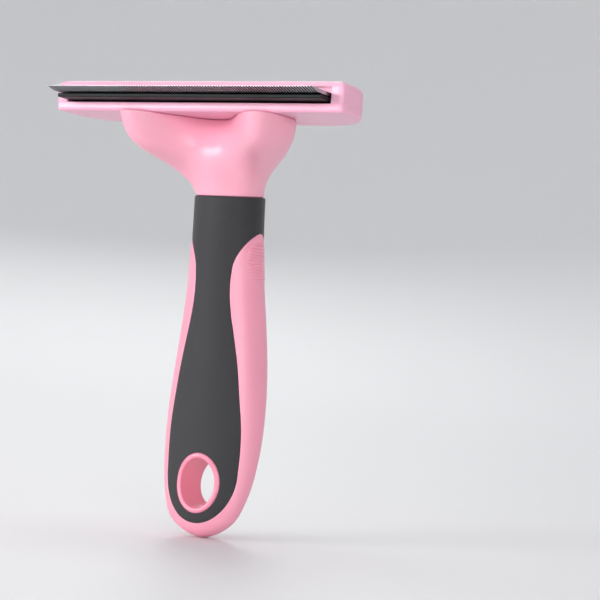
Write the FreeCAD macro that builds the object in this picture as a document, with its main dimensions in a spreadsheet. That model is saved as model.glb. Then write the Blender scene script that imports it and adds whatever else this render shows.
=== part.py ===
"""Deshedding comb for pets: a steel comb blade in a wide head, with a hair ejector and a soft grip.

Frame: X across the head, -Y the way the comb points, +Z from the handle up to the head.
The origin is the centre of the hanging hole, on the handle's axis. Lengths are millimetres.
"""

import FreeCAD, Part
import math
import os
import Sketcher
from FreeCAD import Placement, Rotation, Vector

doc = FreeCAD.newDocument("deshedding_comb")

# ---------------------------------------------------------------- driving sizes
SIZES = {
    # overall
    "overall_height": 155.0,
    "hole_height": 19.2,
    "head_width": 110.0,
    "head_depth": 31.0,
    "head_height": 10.4,
    "head_front": 30.5,
    # head shells
    "rear_corner": 20.0,
    "front_corner": 1.6,
    "edge_round": 2.4,
    "wall": 2.0,
    "overcut": 1.0,
    "floor_thickness": 1.6,
    "lip_height": 2.9,
    "slot_height": 5.5,
    "slot_side": 4.4,
    "seat_height": 2.0,
    "seat_setback": 1.0,
    "seat_lap": 1.0,
    # comb blade
    "blade_side_gap": 0.6,
    "blade_thickness": 1.2,
    "blade_reach": 13.1,
    "blade_grip": 11.5,
    "tooth_margin": 2.5,
    "tooth_pitch": 1.0,
    "tooth_gap": 0.5,
    "tooth_length": 4.0,
    "tip_thickness": 0.25,
    # ejector
    "travel": 6.0,
    "strip_gap": 0.35,
    "strip_thickness": 1.3,
    "strip_reach": 6.7,
    "strip_lap": 4.5,
    "strip_nose": 0.4,
    "slide_gap": 0.15,
    "slider_side_gap": 4.6,
    "wing_depth": 9.5,
    "slider_core_width": 58.0,
    "crossbar_depth": 2.2,
    "crossbar_cover": 0.3,
    "rest_gap": 0.3,
    "spring_offset": 21.5,
    "spring_window": 6.0,
    "window_gap": 0.4,
    "spring_radius": 2.1,
    "spring_wire": 0.45,
    "spring_turns": 7.0,
    "spring_lift": 3.4,
    "guide_radius": 1.0,
    "guide_gap": 0.08,
    "post_thickness": 1.5,
    "post_gap": 0.7,
    "post_side_gap": 0.6,
    "button_width": 22.0,
    "button_height": 5.4,
    "button_lift": 0.6,
    "button_reach": 8.4,
    "button_gap": 0.3,
    "button_corner": 3.2,
    "button_edge": 0.8,
    "groove_depth": 0.4,
    "groove_width": 1.0,
    "groove_pitch": 2.75,
    # fasteners
    "blade_screw_radius": 1.2,
    "blade_screw_head": 2.2,
    "blade_screw_length": 4.2,
    "blade_screw_inner": 16.0,
    "blade_screw_edge": 8.0,
    "rivet_radius": 1.1,
    "rivet_inner": 12.0,
    "rivet_edge": 8.0,
    "neck_screw_radius": 1.5,
    "neck_screw_head": 2.7,
    "neck_screw_length": 11.0,
    "neck_screw_offset": 17.0,
    "horn_screw_inset": 18.25,
    "spine_screw_inset": 6.5,
    "drive_slot_width": 0.6,
    "drive_slot_depth": 0.5,
    "screw_end_gap": 0.25,
    "cap_screw_radius": 1.0,
    "cap_screw_head": 1.8,
    "cap_screw_length": 6.0,
    "cap_screw_pan": 1.2,
    "pin_radius": 1.5,
    "pin_length": 15.0,
    # neck
    "neck_height": 26.0,
    "neck_half_width": 11.9,
    "neck_half_depth": 10.5,
    "neck_rear_step": 0.8,
    "horn_half_width": 30.4,
    "tenon_length": 24.0,
    "tenon_width": 14.0,
    "tenon_depth": 10.0,
    "tenon_gap": 0.05,
    "upper_pin_drop": 8.4,
    "lower_pin_drop": 18.0,
    # handle
    "grip_skin": 1.8,
    "collar_half_width": 12.8,
    "collar_half_depth": 11.0,
    "palm_half_width": 18.7,
    "palm_half_depth": 12.0,
    "palm_setback": 3.3,
    "collar_height": 12.0,
    # hanging hole
    "eyelet_half_width": 8.4,
    "eyelet_half_height": 10.4,
    "eyelet_wall": 1.87,
    "eyelet_proud": 0.5,
}

sheet = doc.addObject("Spreadsheet::Sheet", "Sizes")
for row, (alias, value) in enumerate(SIZES.items(), start=1):
    sheet.set(f"A{row}", alias)
    sheet.set(f"B{row}", str(value))
    sheet.setAlias(f"B{row}", alias)
doc.recompute()

# ---------------------------------------------------------------- levels worked out from the sizes
LEVELS = {
    "head_top": "Sizes.overall_height - Sizes.hole_height",
    "head_bottom": "head_top - Sizes.head_height",
    "head_rear": "Sizes.head_depth - Sizes.head_front",
    "half_head": "Sizes.head_width / 2",
    "half_slot": "half_head - Sizes.slot_side",
    "half_blade": "half_slot - Sizes.blade_side_gap",
    "half_slider": "half_slot - Sizes.slider_side_gap",
    "blade_screw_inner": "Sizes.blade_screw_inner",
    "blade_screw_outer": "half_blade - Sizes.blade_screw_edge",
    "rivet_inner": "Sizes.rivet_inner",
    "rivet_outer": "half_slider - Sizes.rivet_edge",
    "tooth_count": "floor(2 * (half_blade - Sizes.tooth_margin) / Sizes.tooth_pitch + 0.001)",
    "slot_bottom": "head_bottom + Sizes.lip_height",
    "slot_top": "slot_bottom + Sizes.slot_height",
    "floor_top": "head_bottom + Sizes.floor_thickness",
    "blade_top": "slot_top - Sizes.seat_height",
    "blade_bottom": "blade_top - Sizes.blade_thickness",
    "blade_tip": "-Sizes.head_front - Sizes.blade_reach",
    "blade_root": "blade_tip + Sizes.tooth_length",
    "blade_rear": "-Sizes.head_front + Sizes.blade_grip",
    "blade_screw_y": "-Sizes.head_front + Sizes.blade_grip / 2",
    "strip_top": "blade_bottom - Sizes.strip_gap",
    "strip_bottom": "strip_top - Sizes.strip_thickness",
    "strip_front": "-Sizes.head_front - Sizes.strip_reach",
    "slider_bottom": "floor_top + Sizes.slide_gap",
    "slider_front": "-Sizes.head_front + Sizes.wall + Sizes.travel + Sizes.rest_gap",
    "strip_rear": "slider_front + Sizes.strip_lap",
    "rivet_y": "slider_front + Sizes.strip_lap / 2",
    "post_front": "strip_rear + Sizes.post_gap",
    "post_rear": "post_front + Sizes.post_thickness",
    "slider_rear": "head_rear - Sizes.wall - Sizes.rest_gap",
    "crossbar_front": "slider_rear - Sizes.crossbar_depth",
    "spring_level": "floor_top + Sizes.spring_lift",
    "crossbar_top": "spring_level + Sizes.spring_radius + Sizes.crossbar_cover",
    "button_bottom": "slider_bottom + Sizes.button_lift",
    "button_top": "button_bottom + Sizes.button_height",
    "button_level": "button_bottom + Sizes.button_height / 2",
    "button_rear": "head_rear + Sizes.button_reach",
    "collar_top": "head_bottom - Sizes.neck_height",
    "tenon_bottom": "collar_top - Sizes.tenon_length",
    "horn_screw_y": "-Sizes.head_front + Sizes.horn_screw_inset",
    "spine_screw_y": "head_rear - Sizes.spine_screw_inset",
}
levels = doc.addObject("App::VarSet", "Levels")
for name in LEVELS:
    levels.addProperty("App::PropertyFloat", name, "Levels", "level or offset in millimetres")
for name, formula in LEVELS.items():
    levels.setExpression(name, formula)
    doc.recompute()


def size(alias):
    """A driving size, read from the sheet."""
    return float(sheet.get(alias))


def level(name):
    """A worked-out level, read from the Levels set."""
    return float(getattr(levels, name))


# ---------------------------------------------------------------- modelling helpers
def new_body(label):
    body = doc.addObject("PartDesign::Body", label)
    body.Label = label
    return body


def plane_sketch(body, name, role, offset=None):
    """A sketch on one of the body's own origin planes, moved along its normal by a formula."""
    sketch = body.newObject("Sketcher::SketchObject", name)
    plane = [f for f in body.Origin.OriginFeatures if f.Role == role][0]
    sketch.AttachmentSupport = [(plane, "")]
    sketch.MapMode = "FlatFace"
    if offset:
        sketch.setExpression("AttachmentOffset.Base.z", offset)
    return sketch


def bind(sketch, constraint, formula):
    """Add a dimension to a sketch and bind it to a formula."""
    index = sketch.addConstraint(constraint)
    sketch.setExpression(f"Constraints[{index}]", formula)


def rectangle(sketch, left, right, low, high):
    """Four lines, held at four distances from the sketch's origin."""
    corners = [Vector(-1, -1, 0), Vector(1, -1, 0), Vector(1, 1, 0), Vector(-1, 1, 0)]
    first = sketch.GeometryCount
    for i in range(4):
        sketch.addGeometry(Part.LineSegment(corners[i], corners[(i + 1) % 4]), False)
    for i in range(4):
        sketch.addConstraint(Sketcher.Constraint("Coincident", first + i, 2, first + (i + 1) % 4, 1))
    sketch.addConstraint(Sketcher.Constraint("Horizontal", first))
    sketch.addConstraint(Sketcher.Constraint("Vertical", first + 1))
    sketch.addConstraint(Sketcher.Constraint("Horizontal", first + 2))
    sketch.addConstraint(Sketcher.Constraint("Vertical", first + 3))
    bind(sketch, Sketcher.Constraint("DistanceX", -1, 1, first, 1, -1.0), left)
    bind(sketch, Sketcher.Constraint("DistanceX", -1, 1, first, 2, 1.0), right)
    bind(sketch, Sketcher.Constraint("DistanceY", -1, 1, first, 1, -1.0), low)
    bind(sketch, Sketcher.Constraint("DistanceY", -1, 1, first + 2, 1, 1.0), high)


def circle(sketch, x, y, radius):
    """A circle whose centre and radius are bound to formulas."""
    index = sketch.addGeometry(Part.Circle(Vector(1, 1, 0), Vector(0, 0, 1), 1.0), False)
    bind(sketch, Sketcher.Constraint("DistanceX", -1, 1, index, 3, 1.0), x)
    bind(sketch, Sketcher.Constraint("DistanceY", -1, 1, index, 3, 1.0), y)
    bind(sketch, Sketcher.Constraint("Radius", index, 1.0), radius)


def pad(body, sketch, length):
    feature = body.newObject("PartDesign::Pad", sketch.Name + "_pad")
    feature.Profile = sketch
    feature.setExpression("Length", length)
    return feature


def pocket(body, sketch, length, along=True):
    """Cut along the sketch's normal, or against it. The volume must fall."""
    doc.recompute()
    before = body.Shape.Volume
    feature = body.newObject("PartDesign::Pocket", sketch.Name + "_pocket")
    feature.Profile = sketch
    feature.Reversed = along
    feature.setExpression("Length", length)
    doc.recompute()
    if body.Shape.Volume >= before - 1e-6:
        raise RuntimeError(f"{sketch.Name} cuts nothing from {body.Label}")
    return feature


def edge_names(shape, test):
    """Names of the edges whose two ends and middle all pass the test."""
    names = []
    for index, edge in enumerate(shape.Edges, start=1):
        points = [v.Point for v in edge.Vertexes]
        middle = edge.valueAt((edge.FirstParameter + edge.LastParameter) / 2)
        if all(test(point) for point in points + [middle]):
            names.append(f"Edge{index}")
    return names


def fillet(body, name, test, radius):
    """Round the edges of the body's present tip that pass the test."""
    doc.recompute()
    base = body.Tip
    names = edge_names(base.Shape, test)
    if not names:
        raise RuntimeError(f"{name} finds no edge on {body.Label}")
    feature = body.newObject("PartDesign::Fillet", name)
    feature.Base = (base, names)
    feature.setExpression("Radius", radius)
    return feature


def near(a, b):
    return abs(a - b) < 0.01


def primitive(kind, name, placement=None, **formulas):
    """A Part primitive whose sizes, and x, y, z of its place, are bound to formulas."""
    feature = doc.addObject("Part::" + kind, name)
    if placement:
        feature.Placement = placement
    for key, formula in formulas.items():
        path = f"Placement.Base.{key}" if key in ("x", "y", "z") else key
        feature.setExpression(path, formula)
    return feature


def group(label, members):
    """One node that holds several separate, equal solids."""
    feature = doc.addObject("Part::Compound", label)
    feature.Label = label
    feature.Links = members
    return feature


def free_shape(label, shape):
    """A piece whose shape is worked out here from the sheet's sizes."""
    feature = doc.addObject("Part::Feature", label)
    feature.Label = label
    feature.Shape = shape
    return feature


ALONG_Y = Rotation(Vector(1, 0, 0), -90)
UPSIDE_DOWN = Rotation(Vector(1, 0, 0), 180)


# ---------------------------------------------------------------- head shells
def head_outline(body, name, offset, inset):
    """The head's rectangle in plan, drawn in from the outside by an inset."""
    sketch = plane_sketch(body, name, "XY_Plane", offset)
    rectangle(sketch, f"-Levels.half_head + {inset}", f"Levels.half_head - {inset}",
              f"-Sizes.head_front + {inset}", f"Levels.head_rear - {inset}")
    return sketch


def on_rear_corner(point):
    return near(abs(point.x), level("half_head")) and near(point.y, level("head_rear"))


def on_front_corner(point):
    return near(abs(point.x), level("half_head")) and near(point.y, -size("head_front"))


def rear_rounded(sketch, left, right, low, high, radius):
    """A rectangle whose two rear corners are arcs, held like the plain rectangle."""
    lines = [((-9, -9), (9, -9)), ((9, -9), (9, 6)), None, ((6, 9), (-6, 9)), None, ((-9, 6), (-9, -9))]
    arcs = {2: ((6, 6), 0.0, math.pi / 2), 4: ((-6, 6), math.pi / 2, math.pi)}
    for i, line in enumerate(lines):
        if line:
            sketch.addGeometry(Part.LineSegment(Vector(*line[0], 0), Vector(*line[1], 0)), False)
        else:
            centre, start, end = arcs[i]
            round_edge = Part.Circle(Vector(*centre, 0), Vector(0, 0, 1), 3.0)
            sketch.addGeometry(Part.ArcOfCircle(round_edge, start, end), False)
    sketch.addConstraint(Sketcher.Constraint("Coincident", 0, 2, 1, 1))
    sketch.addConstraint(Sketcher.Constraint("Tangent", 1, 2, 2, 1))
    sketch.addConstraint(Sketcher.Constraint("Tangent", 2, 2, 3, 1))
    sketch.addConstraint(Sketcher.Constraint("Tangent", 3, 2, 4, 1))
    sketch.addConstraint(Sketcher.Constraint("Tangent", 4, 2, 5, 1))
    sketch.addConstraint(Sketcher.Constraint("Coincident", 5, 2, 0, 1))
    for kind, line in (("Horizontal", 0), ("Horizontal", 3), ("Vertical", 1), ("Vertical", 5)):
        sketch.addConstraint(Sketcher.Constraint(kind, line))
    bind(sketch, Sketcher.Constraint("DistanceX", -1, 1, 0, 1, -9.0), left)
    bind(sketch, Sketcher.Constraint("DistanceX", -1, 1, 0, 2, 9.0), right)
    bind(sketch, Sketcher.Constraint("DistanceY", -1, 1, 0, 1, -9.0), low)
    bind(sketch, Sketcher.Constraint("DistanceY", -1, 1, 3, 1, 9.0), high)
    bind(sketch, Sketcher.Constraint("Radius", 2, 3.0), radius)
    bind(sketch, Sketcher.Constraint("Radius", 4, 3.0), radius)


def cavity(body, name, low, high):
    """Hollow out a shell between two levels, with the rear corners rounded inside the wall."""
    sketch = plane_sketch(body, name, "XY_Plane", low)
    rear_rounded(sketch, "-Levels.half_head + Sizes.wall", "Levels.half_head - Sizes.wall",
                 "-Sizes.head_front + Sizes.wall", "Levels.head_rear - Sizes.wall",
                 "Sizes.rear_corner - Sizes.wall")
    pocket(body, sketch, f"{high} - {low}")


def make_head_top_shell():
    body = new_body("head_top_shell")
    outline = head_outline(body, "top_outline", "Levels.slot_bottom", "0")
    pad(body, outline, "Levels.head_top - Levels.slot_bottom")
    fillet(body, "top_rear_corners", on_rear_corner, "Sizes.rear_corner")
    fillet(body, "top_front_corners", on_front_corner, "Sizes.front_corner")
    top, front = level("head_top"), -size("head_front")
    fillet(body, "top_edges", lambda p: near(p.z, top) and p.y > front + 0.01, "Sizes.edge_round")
    cavity(body, "top_cavity", "Levels.slot_bottom", "Levels.slot_top")
    slot = plane_sketch(body, "top_slot", "XY_Plane", "Levels.slot_bottom")
    rectangle(slot, "-Levels.half_slot", "Levels.half_slot",
              "-Sizes.head_front - Sizes.overcut", "-Sizes.head_front + Sizes.wall + Sizes.overcut")
    pocket(body, slot, "Sizes.slot_height")
    seat = plane_sketch(body, "blade_seat", "XY_Plane", "Levels.blade_top")
    rectangle(seat, "-Levels.half_slot - Sizes.seat_lap", "Levels.half_slot + Sizes.seat_lap",
              "-Sizes.head_front + Sizes.seat_setback", "Levels.blade_rear + Sizes.seat_lap")
    pad(body, seat, "Sizes.seat_height")
    doc.recompute()
    gate = plane_sketch(body, "top_button_gate", "XY_Plane", "Levels.slot_bottom")
    rectangle(gate, "-Sizes.button_width / 2 - Sizes.button_gap", "Sizes.button_width / 2 + Sizes.button_gap",
              "Levels.head_rear - Sizes.wall - Sizes.overcut", "Levels.head_rear + Sizes.overcut")
    pocket(body, gate, "Levels.button_top + Sizes.button_gap - Levels.slot_bottom")
    holes = plane_sketch(body, "top_screw_holes", "XY_Plane", "Levels.blade_top")
    for offset in screw_offsets("blade_screw"):
        circle(holes, offset, "Levels.blade_screw_y", "Sizes.blade_screw_radius")
    pocket(body, holes, "Sizes.blade_screw_length - Sizes.blade_thickness + Sizes.screw_end_gap")
    return body


def screw_offsets(name):
    """Formulas for four places across the head, two each side."""
    return [f"{sign}Levels.{name}_{place}" for place in ("inner", "outer") for sign in ("", "-")]


def make_head_bottom_shell():
    body = new_body("head_bottom_shell")
    outline = head_outline(body, "bottom_outline", "Levels.head_bottom", "0")
    pad(body, outline, "Sizes.lip_height")
    fillet(body, "bottom_rear_corners", on_rear_corner, "Sizes.rear_corner")
    fillet(body, "bottom_front_corners", on_front_corner, "Sizes.front_corner")
    bottom, front = level("head_bottom"), -size("head_front")
    fillet(body, "bottom_edges", lambda p: near(p.z, bottom) and p.y > front + 0.01, "Sizes.edge_round / 2")
    cavity(body, "bottom_cavity", "Levels.floor_top", "Levels.slot_bottom")
    gate = plane_sketch(body, "bottom_button_gate", "XY_Plane", "Levels.button_bottom - Sizes.button_gap")
    rectangle(gate, "-Sizes.button_width / 2 - Sizes.button_gap", "Sizes.button_width / 2 + Sizes.button_gap",
              "Levels.head_rear - Sizes.wall - Sizes.overcut", "Levels.head_rear + Sizes.overcut")
    pocket(body, gate, "Levels.slot_bottom - Levels.button_bottom + Sizes.button_gap")
    posts = plane_sketch(body, "spring_posts", "XY_Plane", "Levels.floor_top")
    half_post = "(Sizes.spring_window / 2 - Sizes.post_side_gap)"
    for side in ("", "-"):
        rectangle(posts, f"{side}Sizes.spring_offset - {half_post}", f"{side}Sizes.spring_offset + {half_post}",
                  "Levels.post_front", "Levels.post_rear")
    pad(body, posts, "Sizes.spring_lift + Sizes.spring_radius")
    pegs = plane_sketch(body, "guide_holes", "XZ_Plane", "-Levels.post_rear")
    for side in ("", "-"):
        circle(pegs, f"{side}Sizes.spring_offset", "Levels.spring_level", "Sizes.guide_radius")
    pocket(body, pegs, "Sizes.post_thickness")
    holes = plane_sketch(body, "neck_screw_holes", "XY_Plane", "Levels.head_bottom")
    for x, y in neck_screw_places():
        circle(holes, x, y, "Sizes.neck_screw_radius")
    pocket(body, holes, "Sizes.floor_thickness")
    doc.recompute()
    tip = body.Tip
    rims = edge_names(tip.Shape, lambda p: near(p.z, level("floor_top")) and is_neck_hole_rim(p))
    sink = body.newObject("PartDesign::Chamfer", "neck_screw_sinks")
    sink.Base = (tip, rims)
    sink.setExpression("Size", "Sizes.neck_screw_head - Sizes.neck_screw_radius")
    return body


def neck_screw_places():
    """Formulas for the three screws that hold the neck: one in each horn and one behind the valley."""
    return [("Sizes.neck_screw_offset", "Levels.horn_screw_y"),
            ("-Sizes.neck_screw_offset", "Levels.horn_screw_y"),
            ("0", "Levels.spine_screw_y")]


def neck_screw_points():
    """The same three places as numbers."""
    offset = size("neck_screw_offset")
    return [(offset, level("horn_screw_y")), (-offset, level("horn_screw_y")), (0.0, level("spine_screw_y"))]


def is_neck_hole_rim(point):
    reach = size("neck_screw_radius")
    return any(near(math.hypot(point.x - x, point.y - y), reach) for x, y in neck_screw_points())


# ---------------------------------------------------------------- comb blade and its screws
def make_comb_blade():
    body = new_body("comb_blade")
    section = plane_sketch(body, "blade_section", "YZ_Plane", "-Levels.half_blade")
    points = [("Levels.blade_tip", "Levels.blade_top - Sizes.tip_thickness"),
              ("Levels.blade_tip + Sizes.tooth_length", "Levels.blade_bottom"),
              ("Levels.blade_rear", "Levels.blade_bottom"),
              ("Levels.blade_rear", "Levels.blade_top"),
              ("Levels.blade_tip", "Levels.blade_top")]
    polygon(section, points)
    pad(body, section, "2 * Levels.half_blade")
    gap = plane_sketch(body, "tooth_gap", "XY_Plane", "Levels.blade_bottom - Sizes.overcut")
    first_gap = "(Levels.tooth_count * Sizes.tooth_pitch / 2)"
    rectangle(gap, f"-{first_gap} - Sizes.tooth_gap / 2", f"-{first_gap} + Sizes.tooth_gap / 2",
              "Levels.blade_tip - Sizes.overcut", "Levels.blade_root")
    cut = pocket(body, gap, "Sizes.blade_thickness + 2 * Sizes.overcut")
    pattern = body.newObject("PartDesign::LinearPattern", "tooth_gaps")
    pattern.Originals = [cut]
    pattern.Direction = (gap, ["H_Axis"])
    pattern.setExpression("Length", "Levels.tooth_count * Sizes.tooth_pitch")
    pattern.setExpression("Occurrences", "Levels.tooth_count + 1")
    body.Tip = pattern
    doc.recompute()
    holes = plane_sketch(body, "blade_screw_holes", "XY_Plane", "Levels.blade_bottom")
    for offset in screw_offsets("blade_screw"):
        circle(holes, offset, "Levels.blade_screw_y", "Sizes.blade_screw_radius")
    pocket(body, holes, "Sizes.blade_thickness")
    tip = body.Tip
    outer, inner, reach = level("blade_screw_outer"), size("blade_screw_inner"), size("blade_screw_radius")

    def on_rim(p):
        if not near(p.z, level("blade_bottom")):
            return False
        away = [math.hypot(abs(p.x) - x, p.y - level("blade_screw_y")) for x in (inner, outer)]
        return any(near(distance, reach) for distance in away)

    sink = body.newObject("PartDesign::Chamfer", "blade_screw_sinks")
    sink.Base = (tip, edge_names(tip.Shape, on_rim))
    sink.setExpression("Size", "Sizes.blade_screw_head - Sizes.blade_screw_radius")
    return body


def polygon(sketch, places):
    """A closed outline whose corners are bound to pairs of formulas."""
    count = len(places)
    for i in range(count):
        angle = 2 * math.pi * i / count
        after = 2 * math.pi * (i + 1) / count
        start = Vector(math.cos(angle), math.sin(angle), 0)
        end = Vector(math.cos(after), math.sin(after), 0)
        sketch.addGeometry(Part.LineSegment(start, end), False)
    for i in range(count):
        sketch.addConstraint(Sketcher.Constraint("Coincident", i, 2, (i + 1) % count, 1))
    for i, (x, y) in enumerate(places):
        bind(sketch, Sketcher.Constraint("DistanceX", -1, 1, i, 1, 1.0), x)
        bind(sketch, Sketcher.Constraint("DistanceY", -1, 1, i, 1, 1.0), y)


def countersunk_screw(name, x, y, level_name, radius, head, length, rotation):
    """A countersunk screw: a cone that ends flush with its seat, and a shank."""
    place = Placement(Vector(0, 0, 0), rotation)
    cone = primitive("Cone", name + "_head", place, x=x, y=y, z=level_name,
                     Radius1=head, Radius2=radius, Height=f"{head} - {radius}")
    shank = primitive("Cylinder", name + "_shank", place, x=x, y=y, z=level_name,
                      Radius=radius, Height=length)
    joined = doc.addObject("Part::Fuse", name + "_blank")
    joined.Base = cone
    joined.Tool = shank
    side = "-" if rotation.Angle == 0 else "+"
    recess = primitive("Box", name + "_recess", place, Length=f"2 * {head}", Width="Sizes.drive_slot_width",
                       Height="Sizes.drive_slot_depth", x=f"{x} - {head}",
                       y=f"{y} {side} Sizes.drive_slot_width / 2", z=level_name)
    screw = doc.addObject("Part::Cut", name)
    screw.Base = joined
    screw.Tool = recess
    return screw


def make_blade_screws():
    upright = Rotation()
    screws = [countersunk_screw(f"blade_screw_{i}", offset, "Levels.blade_screw_y", "Levels.blade_bottom",
                                "Sizes.blade_screw_radius", "Sizes.blade_screw_head",
                                "Sizes.blade_screw_length", upright)
              for i, offset in enumerate(screw_offsets("blade_screw"), start=1)]
    return group("blade_screws", screws)


# ---------------------------------------------------------------- ejector
def make_ejector_strip():
    body = new_body("ejector_strip")
    outline = plane_sketch(body, "strip_outline", "XY_Plane", "Levels.strip_bottom")
    rectangle(outline, "-Levels.half_blade", "Levels.half_blade",
              "Levels.strip_front", "Levels.strip_rear")
    pad(body, outline, "Sizes.strip_thickness")
    front = level("strip_front")
    fillet(body, "strip_nose", lambda p: near(p.y, front) and abs(p.x) <= level("half_blade")
           and (near(p.z, level("strip_bottom")) or near(p.z, level("strip_top"))), "Sizes.strip_nose")
    holes = plane_sketch(body, "strip_rivet_holes", "XY_Plane", "Levels.strip_bottom")
    for offset in screw_offsets("rivet"):
        circle(holes, offset, "Levels.rivet_y", "Sizes.rivet_radius")
    pocket(body, holes, "Sizes.strip_thickness")
    return body


def make_ejector_slider():
    body = new_body("ejector_slider")
    thickness = "Levels.strip_bottom - Levels.slider_bottom"
    wing = plane_sketch(body, "slider_wing", "XY_Plane", "Levels.slider_bottom")
    rectangle(wing, "-Levels.half_slider", "Levels.half_slider",
              "Levels.slider_front", "Levels.slider_front + Sizes.wing_depth")
    pad(body, wing, thickness)
    core = plane_sketch(body, "slider_core", "XY_Plane", "Levels.slider_bottom")
    rectangle(core, "-Sizes.slider_core_width / 2", "Sizes.slider_core_width / 2",
              "Levels.slider_front + Sizes.wing_depth / 2", "Levels.slider_rear")
    pad(body, core, thickness)
    bar = plane_sketch(body, "slider_crossbar", "XY_Plane", "Levels.slider_bottom")
    rectangle(bar, "-Sizes.slider_core_width / 2", "Sizes.slider_core_width / 2",
              "Levels.crossbar_front", "Levels.slider_rear")
    pad(body, bar, "Levels.crossbar_top - Levels.slider_bottom")
    windows = plane_sketch(body, "spring_windows", "XY_Plane", "Levels.slider_bottom")
    half = "Sizes.spring_window / 2"
    for side in ("", "-"):
        rectangle(windows, f"{side}Sizes.spring_offset - {half}", f"{side}Sizes.spring_offset + {half}",
                  "Levels.post_front - Sizes.window_gap", "Levels.crossbar_front")
    pocket(body, windows, thickness)
    guides = plane_sketch(body, "slider_guide_holes", "XZ_Plane", "-Levels.slider_rear")
    for side in ("", "-"):
        circle(guides, f"{side}Sizes.spring_offset", "Levels.spring_level", "Sizes.guide_radius + Sizes.guide_gap")
    circle(guides, "0", "Levels.button_level", "Sizes.cap_screw_radius")
    pocket(body, guides, "Sizes.crossbar_depth")
    relief = plane_sketch(body, "screw_head_relief", "XZ_Plane", "-Levels.crossbar_front")
    circle(relief, "0", "Levels.button_level", "Sizes.cap_screw_head + Sizes.slide_gap")
    pocket(body, relief, "Sizes.cap_screw_pan + Sizes.slide_gap")
    holes = plane_sketch(body, "slider_rivet_holes", "XY_Plane", "Levels.slider_bottom")
    for offset in screw_offsets("rivet"):
        circle(holes, offset, "Levels.rivet_y", "Sizes.rivet_radius")
    pocket(body, holes, thickness)
    return body


def make_ejector_rivets():
    rivets = [primitive("Cylinder", f"ejector_rivet_{i}", None, x=offset, y="Levels.rivet_y",
                        z="Levels.slider_bottom", Radius="Sizes.rivet_radius",
                        Height="Levels.strip_top - Levels.slider_bottom")
              for i, offset in enumerate(screw_offsets("rivet"), start=1)]
    return group("ejector_rivets", rivets)


def make_push_button():
    body = new_body("push_button")
    outline = plane_sketch(body, "button_outline", "XY_Plane", "Levels.button_bottom")
    rectangle(outline, "-Sizes.button_width / 2", "Sizes.button_width / 2",
              "Levels.slider_rear", "Levels.button_rear")
    pad(body, outline, "Sizes.button_height")
    rear, half = level("button_rear"), size("button_width") / 2
    fillet(body, "button_sides", lambda p: near(p.y, rear) and near(abs(p.x), half), "Sizes.button_corner")
    fillet(body, "button_rims", lambda p: p.y > level("slider_rear") + 0.01
           and (near(p.z, level("button_bottom")) or near(p.z, level("button_top"))), "Sizes.button_edge")
    grooves = plane_sketch(body, "thumb_grooves", "XY_Plane", "Levels.button_bottom")
    for step in (-2, -1, 0, 1, 2):
        middle = f"{step} * Sizes.groove_pitch"
        rectangle(grooves, f"{middle} - Sizes.groove_width / 2", f"{middle} + Sizes.groove_width / 2",
                  "Levels.button_rear - Sizes.groove_depth", "Levels.button_rear + Sizes.overcut")
    pocket(body, grooves, "Sizes.button_height")
    hole = plane_sketch(body, "cap_screw_hole", "XZ_Plane", "-Levels.slider_rear")
    circle(hole, "0", "Levels.button_level", "Sizes.cap_screw_radius")
    pocket(body, hole, "Sizes.cap_screw_length - Sizes.crossbar_depth + Sizes.screw_end_gap", along=False)
    return body


def make_cap_screw():
    """A pan-head screw from the crossbar's front into the button."""
    place = Placement(Vector(0, 0, 0), ALONG_Y)
    shank = primitive("Cylinder", "cap_screw_shank", place, y="Levels.crossbar_front",
                      z="Levels.button_level", Radius="Sizes.cap_screw_radius", Height="Sizes.cap_screw_length")
    head = primitive("Cylinder", "cap_screw_pan", place, y="Levels.crossbar_front - Sizes.cap_screw_pan",
                     z="Levels.button_level", Radius="Sizes.cap_screw_head", Height="Sizes.cap_screw_pan")
    screw = doc.addObject("Part::Fuse", "button_screw")
    screw.Label = "button_screw"
    screw.Base = head
    screw.Tool = shank
    return screw


def make_return_spring(label, side):
    """A compression spring from its post to the crossbar, wound along Y, with its ends cut square."""
    wire = size("spring_wire")
    middle_radius = size("spring_radius") - wire / 2
    start, end = level("post_rear"), level("crossbar_front")
    length = end - start
    pitch = length / (size("spring_turns") - 1)
    helix = Part.makeHelix(pitch, length + 2 * pitch, middle_radius)
    profile = Part.Wire([Part.makeCircle(wire / 2, Vector(middle_radius, 0, 0), Vector(0, 1, 0))])
    coil = Part.Wire(helix).makePipeShell([profile], True, True)
    coil.translate(Vector(0, 0, -pitch))
    box = Part.makeBox(4 * middle_radius, 4 * middle_radius, length,
                       Vector(-2 * middle_radius, -2 * middle_radius, 0))
    spring = free_shape(label, coil.common(box))
    spring.Placement = Placement(Vector(side * size("spring_offset"), start, level("spring_level")), ALONG_Y)
    return spring


def make_guide_pins():
    """Pins pressed in the posts. The springs sit on them and the crossbar slides along them."""
    pins = [primitive("Cylinder", name, Placement(Vector(0, 0, 0), ALONG_Y), x=f"{side}Sizes.spring_offset",
                      y="Levels.post_front", z="Levels.spring_level", Radius="Sizes.guide_radius",
                      Height="Levels.slider_rear - Levels.post_front")
            for name, side in (("guide_pin_right", ""), ("guide_pin_left", "-"))]
    return group("guide_pins", pins)


# ---------------------------------------------------------------- neck
# Shares of the neck's height at its rings, and how far each ring has opened from the collar's oval
# to the outline under the head. The front of the horns opens early and bulges, the rear follows.
RING_SHARES = (0.0, 0.12, 0.26, 0.40, 0.54, 0.68, 0.84, 1.0)
FRONT_OPENING = (0.0, 0.06, 0.21, 0.42, 0.76, 0.90, 0.955, 1.0)
REAR_OPENING = (0.0, -0.04, 0.11, 0.37, 0.67, 0.89, 1.04, 1.0)
# How much each point of the half outline, from the valley to the rear, belongs to the horn's front.
FRONT_WEIGHTS = (0.0, 0.2, 0.6, 1.0, 1.0, 1.0, 0.6, 0.15, 0.0, 0.0)
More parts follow.
